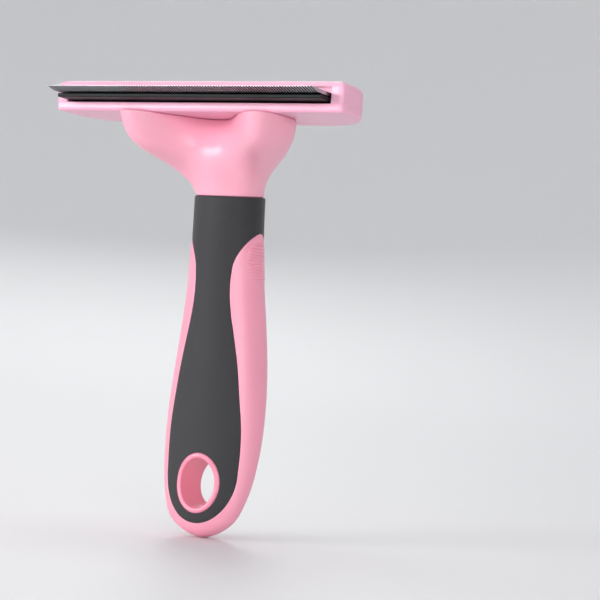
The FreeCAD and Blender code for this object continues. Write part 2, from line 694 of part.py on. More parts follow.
# How far the valley is filled at each ring, as a share of the neck's half depth, and at its first points.
VALLEY_FILL = (0.0, 0.12, 0.30, 0.48, 0.53, 0.44, 0.23, 0.0)
VALLEY_SHARES = (1.0, 0.8, 0.35, 0.0, 0.0, 0.0, 0.0, 0.0, 0.0, 0.0)
COLLAR_TURNS = (0, 18, 36, 55, 75, 95, 118, 140, 160, 180)
OVAL_PULL = 1.04


def collar_outline():
    """Half of the neck's oval where it meets the collar: points that pull a curve from front to rear."""
    width, depth = size("neck_half_width") * OVAL_PULL, size("neck_half_depth") * OVAL_PULL
    return [(width * math.sin(math.radians(turn)), -depth * math.cos(math.radians(turn)))
            for turn in COLLAR_TURNS]


def head_outline_of_neck():
    """Half of the neck's outline under the head: a valley in front, a horn beside it, a flat rear."""
    front, rear = -size("head_front"), level("head_rear") - size("neck_rear_step")
    horn, valley = size("horn_half_width"), -size("neck_half_depth")
    return [(0.0, valley * 1.08),
            (horn * 0.15, valley * 1.23),
            (horn * 0.32, valley * 0.52 + front * 0.46),
            (horn * 0.53, front * 0.93),
            (horn * 0.74, front * 1.13),
            (horn * 0.95, front * 1.07),
            (horn * 1.03, front * 0.74),
            (horn, front * 0.30),
            (horn * 0.59, rear),
            (0.0, rear)]


def neck_shape():
    """A column at the collar that opens into two horns, in one surface pulled by rings of points."""
    below, above = collar_outline(), head_outline_of_neck()
    rings = []
    for share, front, rear, fill in zip(RING_SHARES, FRONT_OPENING, REAR_OPENING, VALLEY_FILL):
        height = level("collar_top") + share * size("neck_height")
        half = []
        for lower, upper, weight, valley in zip(below, above, FRONT_WEIGHTS, VALLEY_SHARES):
            opening = front * weight + rear * (1 - weight)
            x, y = [start + opening * (end - start) for start, end in zip(lower, upper)]
            half.append((x, y - fill * valley * size("neck_half_depth")))
        right = [Vector(x, y, height) for x, y in half]
        left = [Vector(-x, y, height) for x, y in reversed(half[1:-1])]
        rings.append(right + left)
    return lofted_solid(rings)


def lofted_solid(rings):
    """A closed solid whose smooth side is pulled by rings of points, with flat ends."""
    around, along, degree = len(rings[0]), len(rings), 3
    surface = Part.BSplineSurface()
    points = [[ring[i] for ring in rings] for i in range(around)]
    inner_knots = along - degree - 1
    surface.buildFromPolesMultsKnots(
        points, [1] * (around + 1), [degree + 1] + [1] * inner_knots + [degree + 1],
        [float(k) for k in range(around + 1)], [float(k) for k in range(inner_knots + 2)],
        True, False, degree, degree)
    side = surface.toShape()
    start = Part.Face(Part.Wire([surface.vIso(0.0).toShape()]))
    end = Part.Face(Part.Wire([surface.vIso(float(inner_knots + 1)).toShape()]))
    shell = Part.Shell([side, start, end])
    shell.sewShape()
    solid = Part.Solid(Part.Shell(shell.Faces))
    if solid.Volume < 0:
        solid.reverse()
    return solid


def tenon_shape(growth):
    """The rectangular tenon below the neck, or the socket for it when it is grown by a clearance."""
    width = size("tenon_width") + 2 * growth
    depth = size("tenon_depth") + 2 * growth
    bottom = level("tenon_bottom") - growth
    return Part.makeBox(width, depth, level("collar_top") - bottom + size("overcut"),
                        Vector(-width / 2, -depth / 2, bottom))


def pin_holes(radius):
    """Two cross holes through the tenon, along Y, under the collar."""
    holes = []
    for drop in (size("upper_pin_drop"), size("lower_pin_drop")):
        height = level("collar_top") - drop
        start = Vector(0, -size("pin_length") / 2, height)
        holes.append(Part.makeCylinder(radius, size("pin_length"), start, Vector(0, 1, 0)))
    return holes


def screw_cutters(radius):
    """The holes in the neck for the three screws that come down from the head's floor."""
    depth = size("neck_screw_length") - size("floor_thickness")
    return [Part.makeCylinder(radius, depth, Vector(x, y, level("head_bottom") - depth))
            for x, y in neck_screw_points()]


def make_neck():
    shape = neck_shape().fuse(tenon_shape(0.0)).removeSplitter()
    for cutter in pin_holes(size("pin_radius")) + screw_cutters(size("neck_screw_radius")):
        shape = shape.cut(cutter)
    return free_shape("neck", shape)


def make_neck_screws():
    screws = []
    for i, (x, y) in enumerate(neck_screw_places(), start=1):
        screws.append(countersunk_screw(f"neck_screw_{i}", x, y, "Levels.floor_top",
                                        "Sizes.neck_screw_radius", "Sizes.neck_screw_head",
                                        "Sizes.neck_screw_length", UPSIDE_DOWN))
    return group("neck_screws", screws)


def make_tenon_pins():
    return free_shape("tenon_pins", Part.makeCompound(pin_holes(size("pin_radius"))))


# ---------------------------------------------------------------- handle
def handle_sections():
    """Height, half width, half depth and set-back of the handle's ovals, from the butt to the collar."""
    drop, top = size("hole_height"), level("collar_top")
    width, depth, setback = size("palm_half_width"), size("palm_half_depth"), size("palm_setback")
    neck_width, neck_depth = size("collar_half_width"), size("collar_half_depth")
    return [
        (-drop, width * 0.06, depth * 0.10, setback * -0.24),
        (-drop * 0.96, width * 0.23, depth * 0.30, setback * -0.45),
        (-drop * 0.84, width * 0.485, depth * 0.42, setback * -0.76),
        (-drop * 0.62, width * 0.726, depth * 0.53, setback * -0.64),
        (-drop * 0.28, width * 0.84, depth * 0.61, setback * -0.33),
        (0.0, width * 0.922, depth * 0.65, 0.0),
        (top * 0.14, width, depth * 0.80, setback * 0.48),
        (top * 0.27, width * 0.983, depth * 0.95, setback * 0.79),
        (top * 0.40, width * 0.933, depth, setback),
        (top * 0.55, width * 0.838, depth * 0.98, setback * 0.97),
        (top * 0.68, width * 0.757, depth * 0.95, setback * 0.67),
        (top * 0.84, neck_width, neck_depth, setback * 0.27),
        (top, neck_width, neck_depth, 0.0),
    ]


def handle_loft(skin):
    """The handle's outer form, or the form under a skin of a given thickness."""
    count = 16
    pull = 3 / (2 + math.cos(2 * math.pi / count))
    thinnest = size("grip_skin") / 2
    rings = []
    for height, half_width, half_depth, setback in handle_sections():
        a = max(half_width - skin, thinnest) * pull
        b = max(half_depth - skin, thinnest) * pull
        turns = [2 * math.pi * i / count for i in range(count)]
        rings.append([Vector(a * math.sin(turn), setback - b * math.cos(turn), height) for turn in turns])
    return lofted_solid(rings)


def panel_prism():
    """Everything straight in front of and behind the soft panel's outline, collar included."""
    top = level("collar_top")
    width = size("palm_half_width")
    strip_tip = top - size("collar_height")
    half = [(0.0, -hole_share(0.72)),
            (width * 0.404, -hole_share(0.58)),
            (width * 0.626, -hole_share(0.28)),
            (width * 0.741, top * 0.05),
            (width * 0.756, top * 0.12),
            (width * 0.732, top * 0.22),
            (width * 0.655, top * 0.34),
            (width * 0.539, top * 0.47),
            (width * 0.414, top * 0.59),
            (width * 0.371, top * 0.69),
            (width * 0.424, top * 0.77),
            (width * 0.578, top * 0.833),
            (width * 0.770, strip_tip)]
    right = [Vector(x, 0, z) for x, z in half]
    left = [Vector(-x, 0, z) for x, z in reversed(half[1:])]
    curve = Part.BSplineCurve()
    curve.interpolate(Points=left + right)
    ends = [right[-1], Vector(2 * width, 0, strip_tip), Vector(2 * width, 0, 2 * top),
            Vector(-2 * width, 0, 2 * top), Vector(-2 * width, 0, strip_tip), left[0]]
    sides = [Part.makeLine(start, end) for start, end in zip(ends, ends[1:])]
    face = Part.Face(Part.Wire([curve.toShape()] + sides))
    reach = 3 * size("palm_half_depth")
    face.translate(Vector(0, -reach, 0))
    return face.extrude(Vector(0, 2 * reach, 0))


def hole_share(share):
    return share * size("hole_height")


def oval_prism(half_width, half_height, reach):
    """An upright oval, centred on the hanging hole, pushed through the handle along Y."""
    oval = Part.Ellipse(Vector(0, 0, half_height), Vector(half_width, 0, 0), Vector(0, 0, 0))
    face = Part.Face(Part.Wire([oval.toShape()]))
    face.translate(Vector(0, -reach, 0))
    return face.extrude(Vector(0, 2 * reach, 0))


def make_handle():
    outer = handle_loft(0.0)
    inner = handle_loft(size("grip_skin"))
    seat = oval_prism(size("eyelet_half_width"), size("eyelet_half_height"), 3 * size("palm_half_depth"))
    panel = panel_prism()
    grip = outer.cut(inner).common(panel).cut(seat)
    core = outer.cut(grip).cut(seat)
    core = core.cut(tenon_shape(size("tenon_gap")))
    for hole in pin_holes(size("pin_radius")):
        core = core.cut(hole)
    handle_core = free_shape("handle_core", core)
    grip_cover = free_shape("grip_overmould", grip)
    return handle_core, grip_cover


def make_hang_eyelet():
    """The raised ring round the hanging hole, from face to face of the handle."""
    reach = 3 * size("palm_half_depth")
    block = oval_prism(size("eyelet_half_width"), size("eyelet_half_height"), reach)
    proud = handle_loft(-size("eyelet_proud"))
    wall = size("eyelet_wall")
    hole = oval_prism(size("eyelet_half_width") - wall, size("eyelet_half_height") - wall, reach)
    return free_shape("hang_eyelet", block.common(proud).cut(hole))


# ---------------------------------------------------------------- build, test and write
nodes = [
    make_head_top_shell(),
    make_head_bottom_shell(),
    make_comb_blade(),
    make_blade_screws(),
    make_ejector_strip(),
    make_ejector_slider(),
    make_ejector_rivets(),
    make_push_button(),
    make_cap_screw(),
    make_return_spring("return_spring_right", 1),
    make_return_spring("return_spring_left", -1),
    make_guide_pins(),
    make_neck(),
    make_neck_screws(),
    make_tenon_pins(),
    *make_handle(),
    make_hang_eyelet(),
]
doc.recompute()

for thing in doc.Objects:
    if "Invalid" in thing.State or "Error" in thing.State:
        raise RuntimeError(f"{thing.Label} failed: {thing.State}")

os.makedirs("parts", exist_ok=True)
for node in nodes:
    if node.Shape.isNull() or not node.Shape.isValid():
        raise RuntimeError(f"{node.Label} has no valid shape")
    node.Shape.exportStep(f"parts/{node.Label}.step")
    box = node.Shape.BoundBox
    print(f"{node.Label:20s} solids {len(node.Shape.Solids)} volume {node.Shape.Volume:9.1f} "
          f"x {box.XMin:7.2f} {box.XMax:7.2f} y {box.YMin:7.2f} {box.YMax:7.2f} z {box.ZMin:7.2f} {box.ZMax:7.2f}")
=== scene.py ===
"""A deshedding comb for pets: forked neck, wide head, steel comb and soft grip.

Every length is in metres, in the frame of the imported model: X across the head, -Y the way the
teeth point and +Z from the handle up to the head, with the origin in the hanging hole.
"""

import math

import bmesh
import bpy
from bpy.props import FloatProperty, FloatVectorProperty, IntProperty, PointerProperty
from mathutils import Matrix, Vector


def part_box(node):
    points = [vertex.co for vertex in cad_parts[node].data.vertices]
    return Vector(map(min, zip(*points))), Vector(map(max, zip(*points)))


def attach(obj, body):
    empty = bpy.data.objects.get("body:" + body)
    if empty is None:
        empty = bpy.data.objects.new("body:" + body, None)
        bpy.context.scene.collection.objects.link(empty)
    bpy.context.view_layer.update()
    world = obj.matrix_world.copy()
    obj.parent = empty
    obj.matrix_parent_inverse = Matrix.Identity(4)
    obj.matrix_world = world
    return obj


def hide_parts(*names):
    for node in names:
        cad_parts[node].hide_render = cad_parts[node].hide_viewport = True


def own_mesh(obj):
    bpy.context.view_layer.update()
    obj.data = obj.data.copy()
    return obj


bl_info = {
    "name": "Deshedding comb",
    "version": (1, 0, 0),
    "blender": (4, 5, 0),
    "location": "View3D > Sidebar > Comb",
    "description": "Builds the looks of a deshedding comb around its packed model",
    "category": "Object",
}

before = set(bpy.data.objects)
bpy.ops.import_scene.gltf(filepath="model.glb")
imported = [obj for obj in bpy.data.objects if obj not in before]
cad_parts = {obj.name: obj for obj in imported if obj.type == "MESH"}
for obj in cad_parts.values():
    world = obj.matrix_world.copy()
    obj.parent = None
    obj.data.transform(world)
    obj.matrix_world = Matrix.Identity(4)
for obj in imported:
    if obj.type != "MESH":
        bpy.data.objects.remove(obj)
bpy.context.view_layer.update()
MM = 0.001

CORE_LOW, CORE_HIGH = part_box("handle_core")
EYELET_LOW, EYELET_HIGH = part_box("hang_eyelet")
TOP_LOW, TOP_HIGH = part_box("head_top_shell")

COLLAR_TOP = CORE_HIGH.z
BUTT = CORE_LOW.z
HEAD_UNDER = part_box("head_bottom_shell")[0].z
HEAD_FRONT = TOP_LOW.y
HEAD_REAR = TOP_HIGH.y


# ---------------------------------------------------------------- settings
class CombShapeSettings(bpy.types.PropertyGroup):
    """Sizes of the moulded pieces that a user would change."""

    seam_radius: FloatProperty(
        name="Seam rounding", description="Rounding of the moulded edges beside the soft grip",
        default=0.36 * MM, unit="LENGTH")
    grip_sink: FloatProperty(
        name="Grip recess", description="Depth of the recess that the soft grip fills",
        default=1.1 * MM, unit="LENGTH")
    rib_pitch: FloatProperty(
        name="Rib pitch", description="Distance between the grip ribs on the handle's sides",
        default=1.05 * MM, unit="LENGTH")
    rib_height: FloatProperty(
        name="Rib height", description="Height of the grip ribs on the handle's sides",
        default=0.34 * MM, unit="LENGTH")
    edge_bevel: FloatProperty(
        name="Shell edge bevel", description="Rounding of the head shells' sharp edges",
        default=0.18 * MM, unit="LENGTH")


class CombFinishSettings(bpy.types.PropertyGroup):
    """Colours of the finishes."""

    head_pink: FloatVectorProperty(
        name="Head pink", description="Colour of the head shells", subtype="COLOR", size=3,
        default=(0.90, 0.435, 0.59))
    neck_pink: FloatVectorProperty(
        name="Neck pink", description="Colour of the forked neck", subtype="COLOR", size=3,
        default=(0.92, 0.40, 0.52))
    handle_pink: FloatVectorProperty(
        name="Handle pink", description="Colour of the handle's sides", subtype="COLOR", size=3,
        default=(0.90, 0.345, 0.465))
    # The ring's pink, made deeper than the handle's pink to stand for the painted shade inside the
    # hanging hole.
    eyelet_pink_and_hole_shade: FloatVectorProperty(
        name="Eyelet pink and hole shade", description="Colour of the ring round the hanging hole",
        subtype="COLOR", size=3, default=(0.89, 0.27, 0.39))
    grip_grey: FloatVectorProperty(
        name="Grip grey", description="Colour of the soft grip", subtype="COLOR", size=3,
        default=(0.022, 0.022, 0.025))


class CombStageSettings(bpy.types.PropertyGroup):
    """The camera and the floor."""

    azimuth: FloatProperty(
        name="Azimuth", description="Angle of the camera round the tool, towards +X",
        subtype="ANGLE", default=math.radians(25.93))
    elevation: FloatProperty(
        name="Elevation", description="Angle of the camera's aim below level", subtype="ANGLE",
        default=math.radians(-1.33))
    roll: FloatProperty(
        name="Roll", description="Lean of the camera", subtype="ANGLE", default=math.radians(-4.4))
    lens: FloatProperty(
        name="Lens", description="Focal length on a 36 mm sensor, in millimetres", default=99.0)
    floor_steps: IntProperty(
        name="Floor steps", description="Steps round the bowl that makes the floor", default=96)


# ---------------------------------------------------------------- mesh helpers
def finish_mesh(bm, name, body, replaced=(), smooth_angle=40.0):
    """Write a bmesh to a new object at the origin that rides on a body and stands for CAD nodes."""
    mesh = bpy.data.meshes.new(name)
    bm.to_mesh(mesh)
    bm.free()
    piece = bpy.data.objects.new(name, mesh)
    bpy.context.scene.collection.objects.link(piece)
    shade_by_angle(mesh, smooth_angle)
    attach(piece, body)
    if replaced:
        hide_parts(*replaced)
    return piece


def shade_by_angle(mesh, angle):
    """Smooth faces, with edges sharper than an angle in degrees kept sharp."""
    mesh.polygons.foreach_set("use_smooth", [True] * len(mesh.polygons))
    mesh.set_sharp_from_angle(angle=math.radians(angle))


def mapped_grid(bm, columns, rows, place):
    """A grid of quads whose corner (column, row) goes to place(column, row)."""
    made = bmesh.ops.create_grid(bm, x_segments=columns, y_segments=rows, size=1.0)
    for vert in made["verts"]:
        column = round((vert.co.x + 1) / 2 * columns)
        row = round((vert.co.y + 1) / 2 * rows)
        vert.co = place(column, row)
    return made["verts"]


def close_and_orient(bm, distance=1e-7):
    """Merge doubles, fill open rims and point the faces outwards."""
    bmesh.ops.remove_doubles(bm, verts=bm.verts, dist=distance)
    rims = [edge for edge in bm.edges if edge.is_boundary]
    if rims:
        bmesh.ops.holes_fill(bm, edges=rims, sides=0)
    bmesh.ops.recalc_face_normals(bm, faces=bm.faces)


def subtract(piece, cutter):
    """Cut one closed mesh from another, then delete the cutter."""
    modifier = piece.modifiers.new("cut", "BOOLEAN")
    modifier.operation = "DIFFERENCE"
    modifier.solver = "EXACT"
    modifier.object = cutter
    bake_modifiers(piece)
    bpy.data.objects.remove(cutter)


def bake_modifiers(piece):
    """Apply every modifier of a piece."""
    graph = bpy.context.evaluated_depsgraph_get()
    mesh = bpy.data.meshes.new_from_object(piece.evaluated_get(graph))
    piece.modifiers.clear()
    piece.data = mesh


def clamped_spline(values, share):
    """A point on the cubic curve that a row of values pulls, with its ends at the row's ends."""
    spans = len(values) - 3
    knots = [0.0] * 4 + [float(k) for k in range(1, spans)] + [float(spans)] * 4
    at = min(max(share, 0.0), 1.0) * spans
    span = min(int(at), spans - 1) + 3
    points = [values[span - 3 + i] for i in range(4)]
    for level in range(1, 4):
        for i in range(3, level - 1, -1):
            low = knots[span - 3 + i]
            high = knots[span + 1 + i - level]
            mix = (at - low) / (high - low)
            points[i] = points[i - 1] * (1 - mix) + points[i] * mix
    return points[3]


def looped_spline(points, turn):
    """A point on the closed cubic curve that a ring of points pulls. turn runs from 0 to 1."""
    count = len(points)
    at = (turn % 1.0) * count
    whole = int(at)
    t = at - whole
    weights = ((1 - t) ** 3 / 6, (3 * t ** 3 - 6 * t ** 2 + 4) / 6,
               (-3 * t ** 3 + 3 * t ** 2 + 3 * t + 1) / 6, t ** 3 / 6)
    return sum((points[(whole - 1 + k) % count] * weights[k] for k in range(4)), Vector((0, 0)))


# ---------------------------------------------------------------- handle form
def handle_sections():
    """Height, half width, half depth and set-back that pull the handle's form, butt to collar."""
    drop, top = -BUTT, COLLAR_TOP
    width, depth, setback = 18.7 * MM, 12.0 * MM, 3.3 * MM
    collar_width, collar_depth = 12.8 * MM, 11.0 * MM
    return [
        (-drop, width * 0.06, depth * 0.10, setback * -0.24),
        (-drop * 0.96, width * 0.23, depth * 0.30, setback * -0.45),
        (-drop * 0.84, width * 0.485, depth * 0.42, setback * -0.76),
        (-drop * 0.62, width * 0.726, depth * 0.53, setback * -0.64),
        (-drop * 0.28, width * 0.84, depth * 0.61, setback * -0.33),
        (0.0, width * 0.922, depth * 0.65, 0.0),
        (top * 0.14, width, depth * 0.80, setback * 0.48),
        (top * 0.27, width * 0.983, depth * 0.95, setback * 0.79),
        (top * 0.40, width * 0.933, depth, setback),
        (top * 0.55, width * 0.838, depth * 0.98, setback * 0.97),
        (top * 0.68, width * 0.757, depth * 0.95, setback * 0.67),
        (top * 0.84, collar_width, collar_depth, setback * 0.27),
        (top, collar_width, collar_depth, 0.0),
    ]


HANDLE_SECTIONS = handle_sections()
HANDLE_STEPS = 600
HANDLE_TABLE = [clamped_spline([Vector(section) for section in HANDLE_SECTIONS], i / HANDLE_STEPS)
                for i in range(HANDLE_STEPS + 1)]


def handle_at(height):
    """Half width, half depth and set-back of the handle at a height."""
    low, high = 0, HANDLE_STEPS
    while high - low > 1:
        middle = (low + high) // 2
        if HANDLE_TABLE[middle][0] > height:
            high = middle
        else:
            low = middle
    below, above = HANDLE_TABLE[low], HANDLE_TABLE[high]
    mix = (height - below[0]) / (above[0] - below[0])
    mix = min(max(mix, 0.0), 1.0)
    section = below * (1 - mix) + above * mix
    return section[1], section[2], section[3]


# where the soft panels, the ribs and the side strips lie
PANEL_BOTTOM = 0.72 * BUTT
RIBS_MIDDLE = 77.5 * MM
RIBS_HALF_HEIGHT = 7.6 * MM
RIBS_HALF_DEPTH = 6.2 * MM
RIBS_LOW = RIBS_MIDDLE - RIBS_HALF_HEIGHT
RIBS_HIGH = RIBS_MIDDLE + RIBS_HALF_HEIGHT
RECESS_STEPS = 48
STRIP_STEPS = 40
STRIP_TIP = COLLAR_TOP - 12.0 * MM
EYELET_WALL = 1.87 * MM
EYELET_PROUD = 0.5 * MM
EYELET_ROOT = 1.2 * MM
EYELET_GAP = 0.02 * MM
PANEL_ROUND_TOP = 4.0 * MM
COLLAR_ROUNDING = 0.7 * MM
SEAM_LEAN = 0.085
SEAM_PIVOT = 8.0 * MM
SEAM_REACH = 16.0 * MM
PANEL_WIDEST = 13.9 * MM
STRIP_ROUND_FROM = 74.0 * MM
STRIP_ROUND_POWER = 1.62
PANEL_EDGE = [(4.0, 13.9), (12.0, 14.15), (20.0, 13.9), (30.0, 12.7), (41.0, 11.2), (51.5, 9.2),
              (58.6, 7.8), (65.0, 7.0), (70.0, 6.9), (74.0, 7.2)]


def panel_half_width(height):
    """Half width of the soft panel at a height, below the strip's rounded tip."""
    if height < PANEL_ROUND_TOP:
        share = (PANEL_ROUND_TOP - height) / (PANEL_ROUND_TOP - PANEL_BOTTOM)
        return PANEL_WIDEST * math.sqrt(max(1 - share * share, 0.0))
    points = [(z * MM, x * MM) for z, x in PANEL_EDGE]
    for i in range(len(points) - 1):
        if height <= points[i + 1][0]:
            break
    before = points[max(i - 1, 0)]
    start, end = points[i], points[i + 1]
    after = points[min(i + 2, len(points) - 1)]
    span = end[0] - start[0]
    t = (height - start[0]) / span
    leave = (end[1] - before[1]) / (end[0] - before[0]) * span
    arrive = (after[1] - start[1]) / (after[0] - start[0]) * span
    t2, t3 = t * t, t * t * t
    return (start[1] * (2 * t3 - 3 * t2 + 1) + leave * (t3 - 2 * t2 + t)
            + end[1] * (3 * t2 - 2 * t3) + arrive * (t3 - t2))


def panel_angle(height):
    """Angle from the front at which the soft panel ends, a quarter turn above the strip's tip."""
    if height <= PANEL_BOTTOM:
        return 0.0
    if height >= STRIP_TIP:
        return math.pi / 2
    if height > STRIP_ROUND_FROM:
        start = panel_angle(STRIP_ROUND_FROM)
        share = (height - STRIP_ROUND_FROM) / (STRIP_TIP - STRIP_ROUND_FROM)
        strip = (1 - share ** STRIP_ROUND_POWER) ** (1 / STRIP_ROUND_POWER)
        return math.pi / 2 - (math.pi / 2 - start) * strip
    return math.asin(min(panel_half_width(height) / handle_at(height)[0], 1.0))


def handle_point(angle, height, sink=0.0):
    """A point of the handle at an angle from the front, drawn in by a depth."""
    half_width, half_depth, setback = handle_at(height)
    x, y = half_width * math.sin(angle), -half_depth * math.cos(angle)
    inward = Vector((-x / half_width ** 2, -y / half_depth ** 2, 0)).normalized()
    return Vector((x, y + setback, height)) + inward * sink


def lean_seam(verts):
    """Tip the seam between collar and neck square to the leaning handle, fading out beyond it."""
    for vert in verts:
        share = max(1 - abs(vert.co.z - COLLAR_TOP) / SEAM_REACH, 0.0)
        vert.co.z += SEAM_LEAN * (vert.co.y + SEAM_PIVOT) * share * share * (3 - 2 * share)


def arc_scale(angle, height):
    """Length of surface per radian, round the handle."""
    half_width, half_depth, _ = handle_at(height)
    return math.hypot(half_width * math.cos(angle), half_depth * math.sin(angle))


def even(low, high, step):
    """Heights from low up to, not including, high, about a step apart."""
    count = max(1, round((high - low) / step))
    return [low + (high - low) * i / count for i in range(count)]


def crowded(low, high, count, at_low):
    """Heights from low up to, not including, high, crowded at the low end or at the high one."""
    if at_low:
        return [low + (high - low) * (i / count) ** 2 for i in range(count)]
    return [high - (high - low) * (1 - i / count) ** 2 for i in range(count)]


def seam_profile(distance, radius):
    """How deep a rounded edge lies at a distance from its seam."""
    if distance >= radius:
        return 0.0
    return radius - math.sqrt(max(radius ** 2 - (radius - distance) ** 2, 0.0))


EDGE_SHARES = (0.0, 0.12, 0.3, 0.6, 1.0)


def edge_columns(radius, middle_columns, length):
    """Distances from one seam to the other: close together in each rounded edge, even between."""
    usable = min(radius, length / 2 * 0.98)
    start = [share * usable for share in EDGE_SHARES]
    end = [length - share * usable for share in reversed(EDGE_SHARES)]
    gap = length - 2 * usable
    middle = [usable + gap * i / middle_columns for i in range(1, middle_columns)]
    return start + middle + end


def seam_columns(middle_columns):
    """Number of columns that edge_columns makes."""
    return 2 * len(EDGE_SHARES) + middle_columns - 2


# ---------------------------------------------------------------- handle pieces
def grip_rows():
    """Heights of the soft grip's rows, from the panel's lower end to the collar's top."""
    rows = crowded(PANEL_BOTTOM, PANEL_BOTTOM + 3 * MM, 14, True)
    rows += even(PANEL_BOTTOM + 3 * MM, STRIP_ROUND_FROM, 0.9 * MM)
    rows += even(STRIP_ROUND_FROM, STRIP_TIP - 1.5 * MM, 0.5 * MM)
    rows += crowded(STRIP_TIP - 1.5 * MM, STRIP_TIP, 10, False)
    rows += [STRIP_TIP, STRIP_TIP + 0.1 * MM, STRIP_TIP + 0.3 * MM]
    rows += even(STRIP_TIP + 0.9 * MM, COLLAR_TOP - 0.7 * MM, 0.9 * MM)
    return rows + [COLLAR_TOP - share * MM for share in (0.7, 0.5, 0.3, 0.16, 0.06, 0.0)]


def collar_rounding(height):
    """Depth of the rounding at the collar's top edge."""
    return seam_profile(COLLAR_TOP - height, COLLAR_ROUNDING)


def arc_angles(start, end, distances, height):
    """Angles at given surface distances from the start angle, so that the last one is the end."""
    steps = 24
    angles = [start + (end - start) * i / steps for i in range(steps + 1)]
    lengths = [0.0]
    for i in range(steps):
        middle = (angles[i] + angles[i + 1]) / 2
        lengths.append(lengths[-1] + abs(end - start) / steps * arc_scale(middle, height))
    total = lengths[-1]
    found = []
    for distance in distances(total):
        i = 0
        while i < steps - 1 and lengths[i + 1] < distance:
            i += 1
        span = lengths[i + 1] - lengths[i]
        mix = (distance - lengths[i]) / span if span > 0 else 0.0
        found.append(angles[i] + (angles[i + 1] - angles[i]) * mix)
    return found, total


def make_grip(settings):
    """The soft grip: panels in front and behind that meet in the collar, as one thick skin."""
    radius = settings.seam_radius
    rows = grip_rows()
    middle = 60
    columns = seam_columns(middle)
    bm = bmesh.new()
    for face_angle in (0.0, math.pi):
        table = []
        for height in rows:
            reach = max(panel_angle(height), 1e-5)
            angles, total = arc_angles(face_angle - reach, face_angle + reach,
                                       lambda length: edge_columns(radius, middle, length),
                                       height)
            distances = edge_columns(radius, middle, total)
            line = []
            for angle, distance in zip(angles, distances):
                depth = collar_rounding(height)
                if height < STRIP_TIP:
                    fade = min((height - PANEL_BOTTOM) / radius, 1.0)
                    edge = min(distance, total - distance)
                    depth += seam_profile(min(edge, radius) if fade >= 1 else edge * fade, radius)
                line.append(handle_point(angle, height, depth))
            table.append(line)
        mapped_grid(bm, columns, len(rows) - 1, lambda i, j: table[j][i])
    bmesh.ops.remove_doubles(bm, verts=bm.verts, dist=1e-6)
    bmesh.ops.dissolve_degenerate(bm, edges=bm.edges, dist=1e-6)
    bmesh.ops.recalc_face_normals(bm, faces=bm.faces)
    bmesh.ops.solidify(bm, geom=bm.faces[:], thickness=settings.grip_sink * 0.95)
    bmesh.ops.recalc_face_normals(bm, faces=bm.faces)
    lean_seam(bm.verts)
    piece = finish_mesh(bm, "soft_grip", "tool", ["grip_overmould"], 50.0)
    subtract(piece, oval_block("grip_cutter", EYELET_GAP))
    shade_by_angle(piece.data, 50.0)
    return piece


def oval_block(name, growth):
    """A block with the eyelet's outer oval, right through the handle along Y."""
    half_width = (EYELET_HIGH.x - EYELET_LOW.x) / 2 + growth
    half_height = (EYELET_HIGH.z - EYELET_LOW.z) / 2 + growth
    bm = bmesh.new()
    bmesh.ops.create_circle(bm, cap_ends=True, segments=128, radius=1.0)
    bmesh.ops.scale(bm, vec=(half_width, half_height, 1.0), verts=bm.verts)
    bmesh.ops.rotate(bm, matrix=Matrix.Rotation(math.pi / 2, 3, "X"), verts=bm.verts)
    bmesh.ops.translate(bm, vec=(0, -0.03, 0), verts=bm.verts)
    pushed = bmesh.ops.extrude_face_region(bm, geom=bm.faces[:])
    moved = [item for item in pushed["geom"] if isinstance(item, bmesh.types.BMVert)]
    bmesh.ops.translate(bm, vec=(0, 0.06, 0), verts=moved)
    bmesh.ops.recalc_face_normals(bm, faces=bm.faces)
    mesh = bpy.data.meshes.new(name)
    bm.to_mesh(mesh)
    bm.free()
    block = bpy.data.objects.new(name, mesh)
    bpy.context.scene.collection.objects.link(block)
    return block


def rib_height(angle, height, settings):
    """Height of the grip ribs: rounded bars across an oval patch on each side of the handle."""
    across = -handle_at(height)[1] * math.cos(angle) / RIBS_HALF_DEPTH
    along = (height - RIBS_MIDDLE) / RIBS_HALF_HEIGHT
    inside = 1 - (across * across + along * along)
    if inside <= 0:
        return 0.0
    wave = 0.5 + 0.5 * math.cos(2 * math.pi * (height - RIBS_MIDDLE) / settings.rib_pitch)
    return settings.rib_height * min(inside * 8, 1.0) * wave ** 0.7


def core_rows():
    """Heights of the handle core's rows, close together in the ribs and near the panel's ends."""
    rows = crowded(BUTT, BUTT + 2.0 * MM, 12, True)
    rows += even(BUTT + 2.0 * MM, PANEL_BOTTOM - 0.8 * MM, 0.5 * MM)
    rows += crowded(PANEL_BOTTOM - 0.8 * MM, PANEL_BOTTOM, 5, False)
    rows += crowded(PANEL_BOTTOM, PANEL_BOTTOM + 3 * MM, 14, True)
    rows += even(PANEL_BOTTOM + 3 * MM, RIBS_LOW, 0.9 * MM)
    rows += even(RIBS_LOW, RIBS_HIGH, 0.13 * MM)
    rows += even(RIBS_HIGH, STRIP_TIP - 1.5 * MM, 0.3 * MM)
    rows += crowded(STRIP_TIP - 1.5 * MM, STRIP_TIP, 10, False)
    return rows + [STRIP_TIP, STRIP_TIP + 0.05 * MM,
                   *even(STRIP_TIP + 1 * MM, COLLAR_TOP - 0.5 * MM, 1 * MM), COLLAR_TOP - 0.5 * MM]


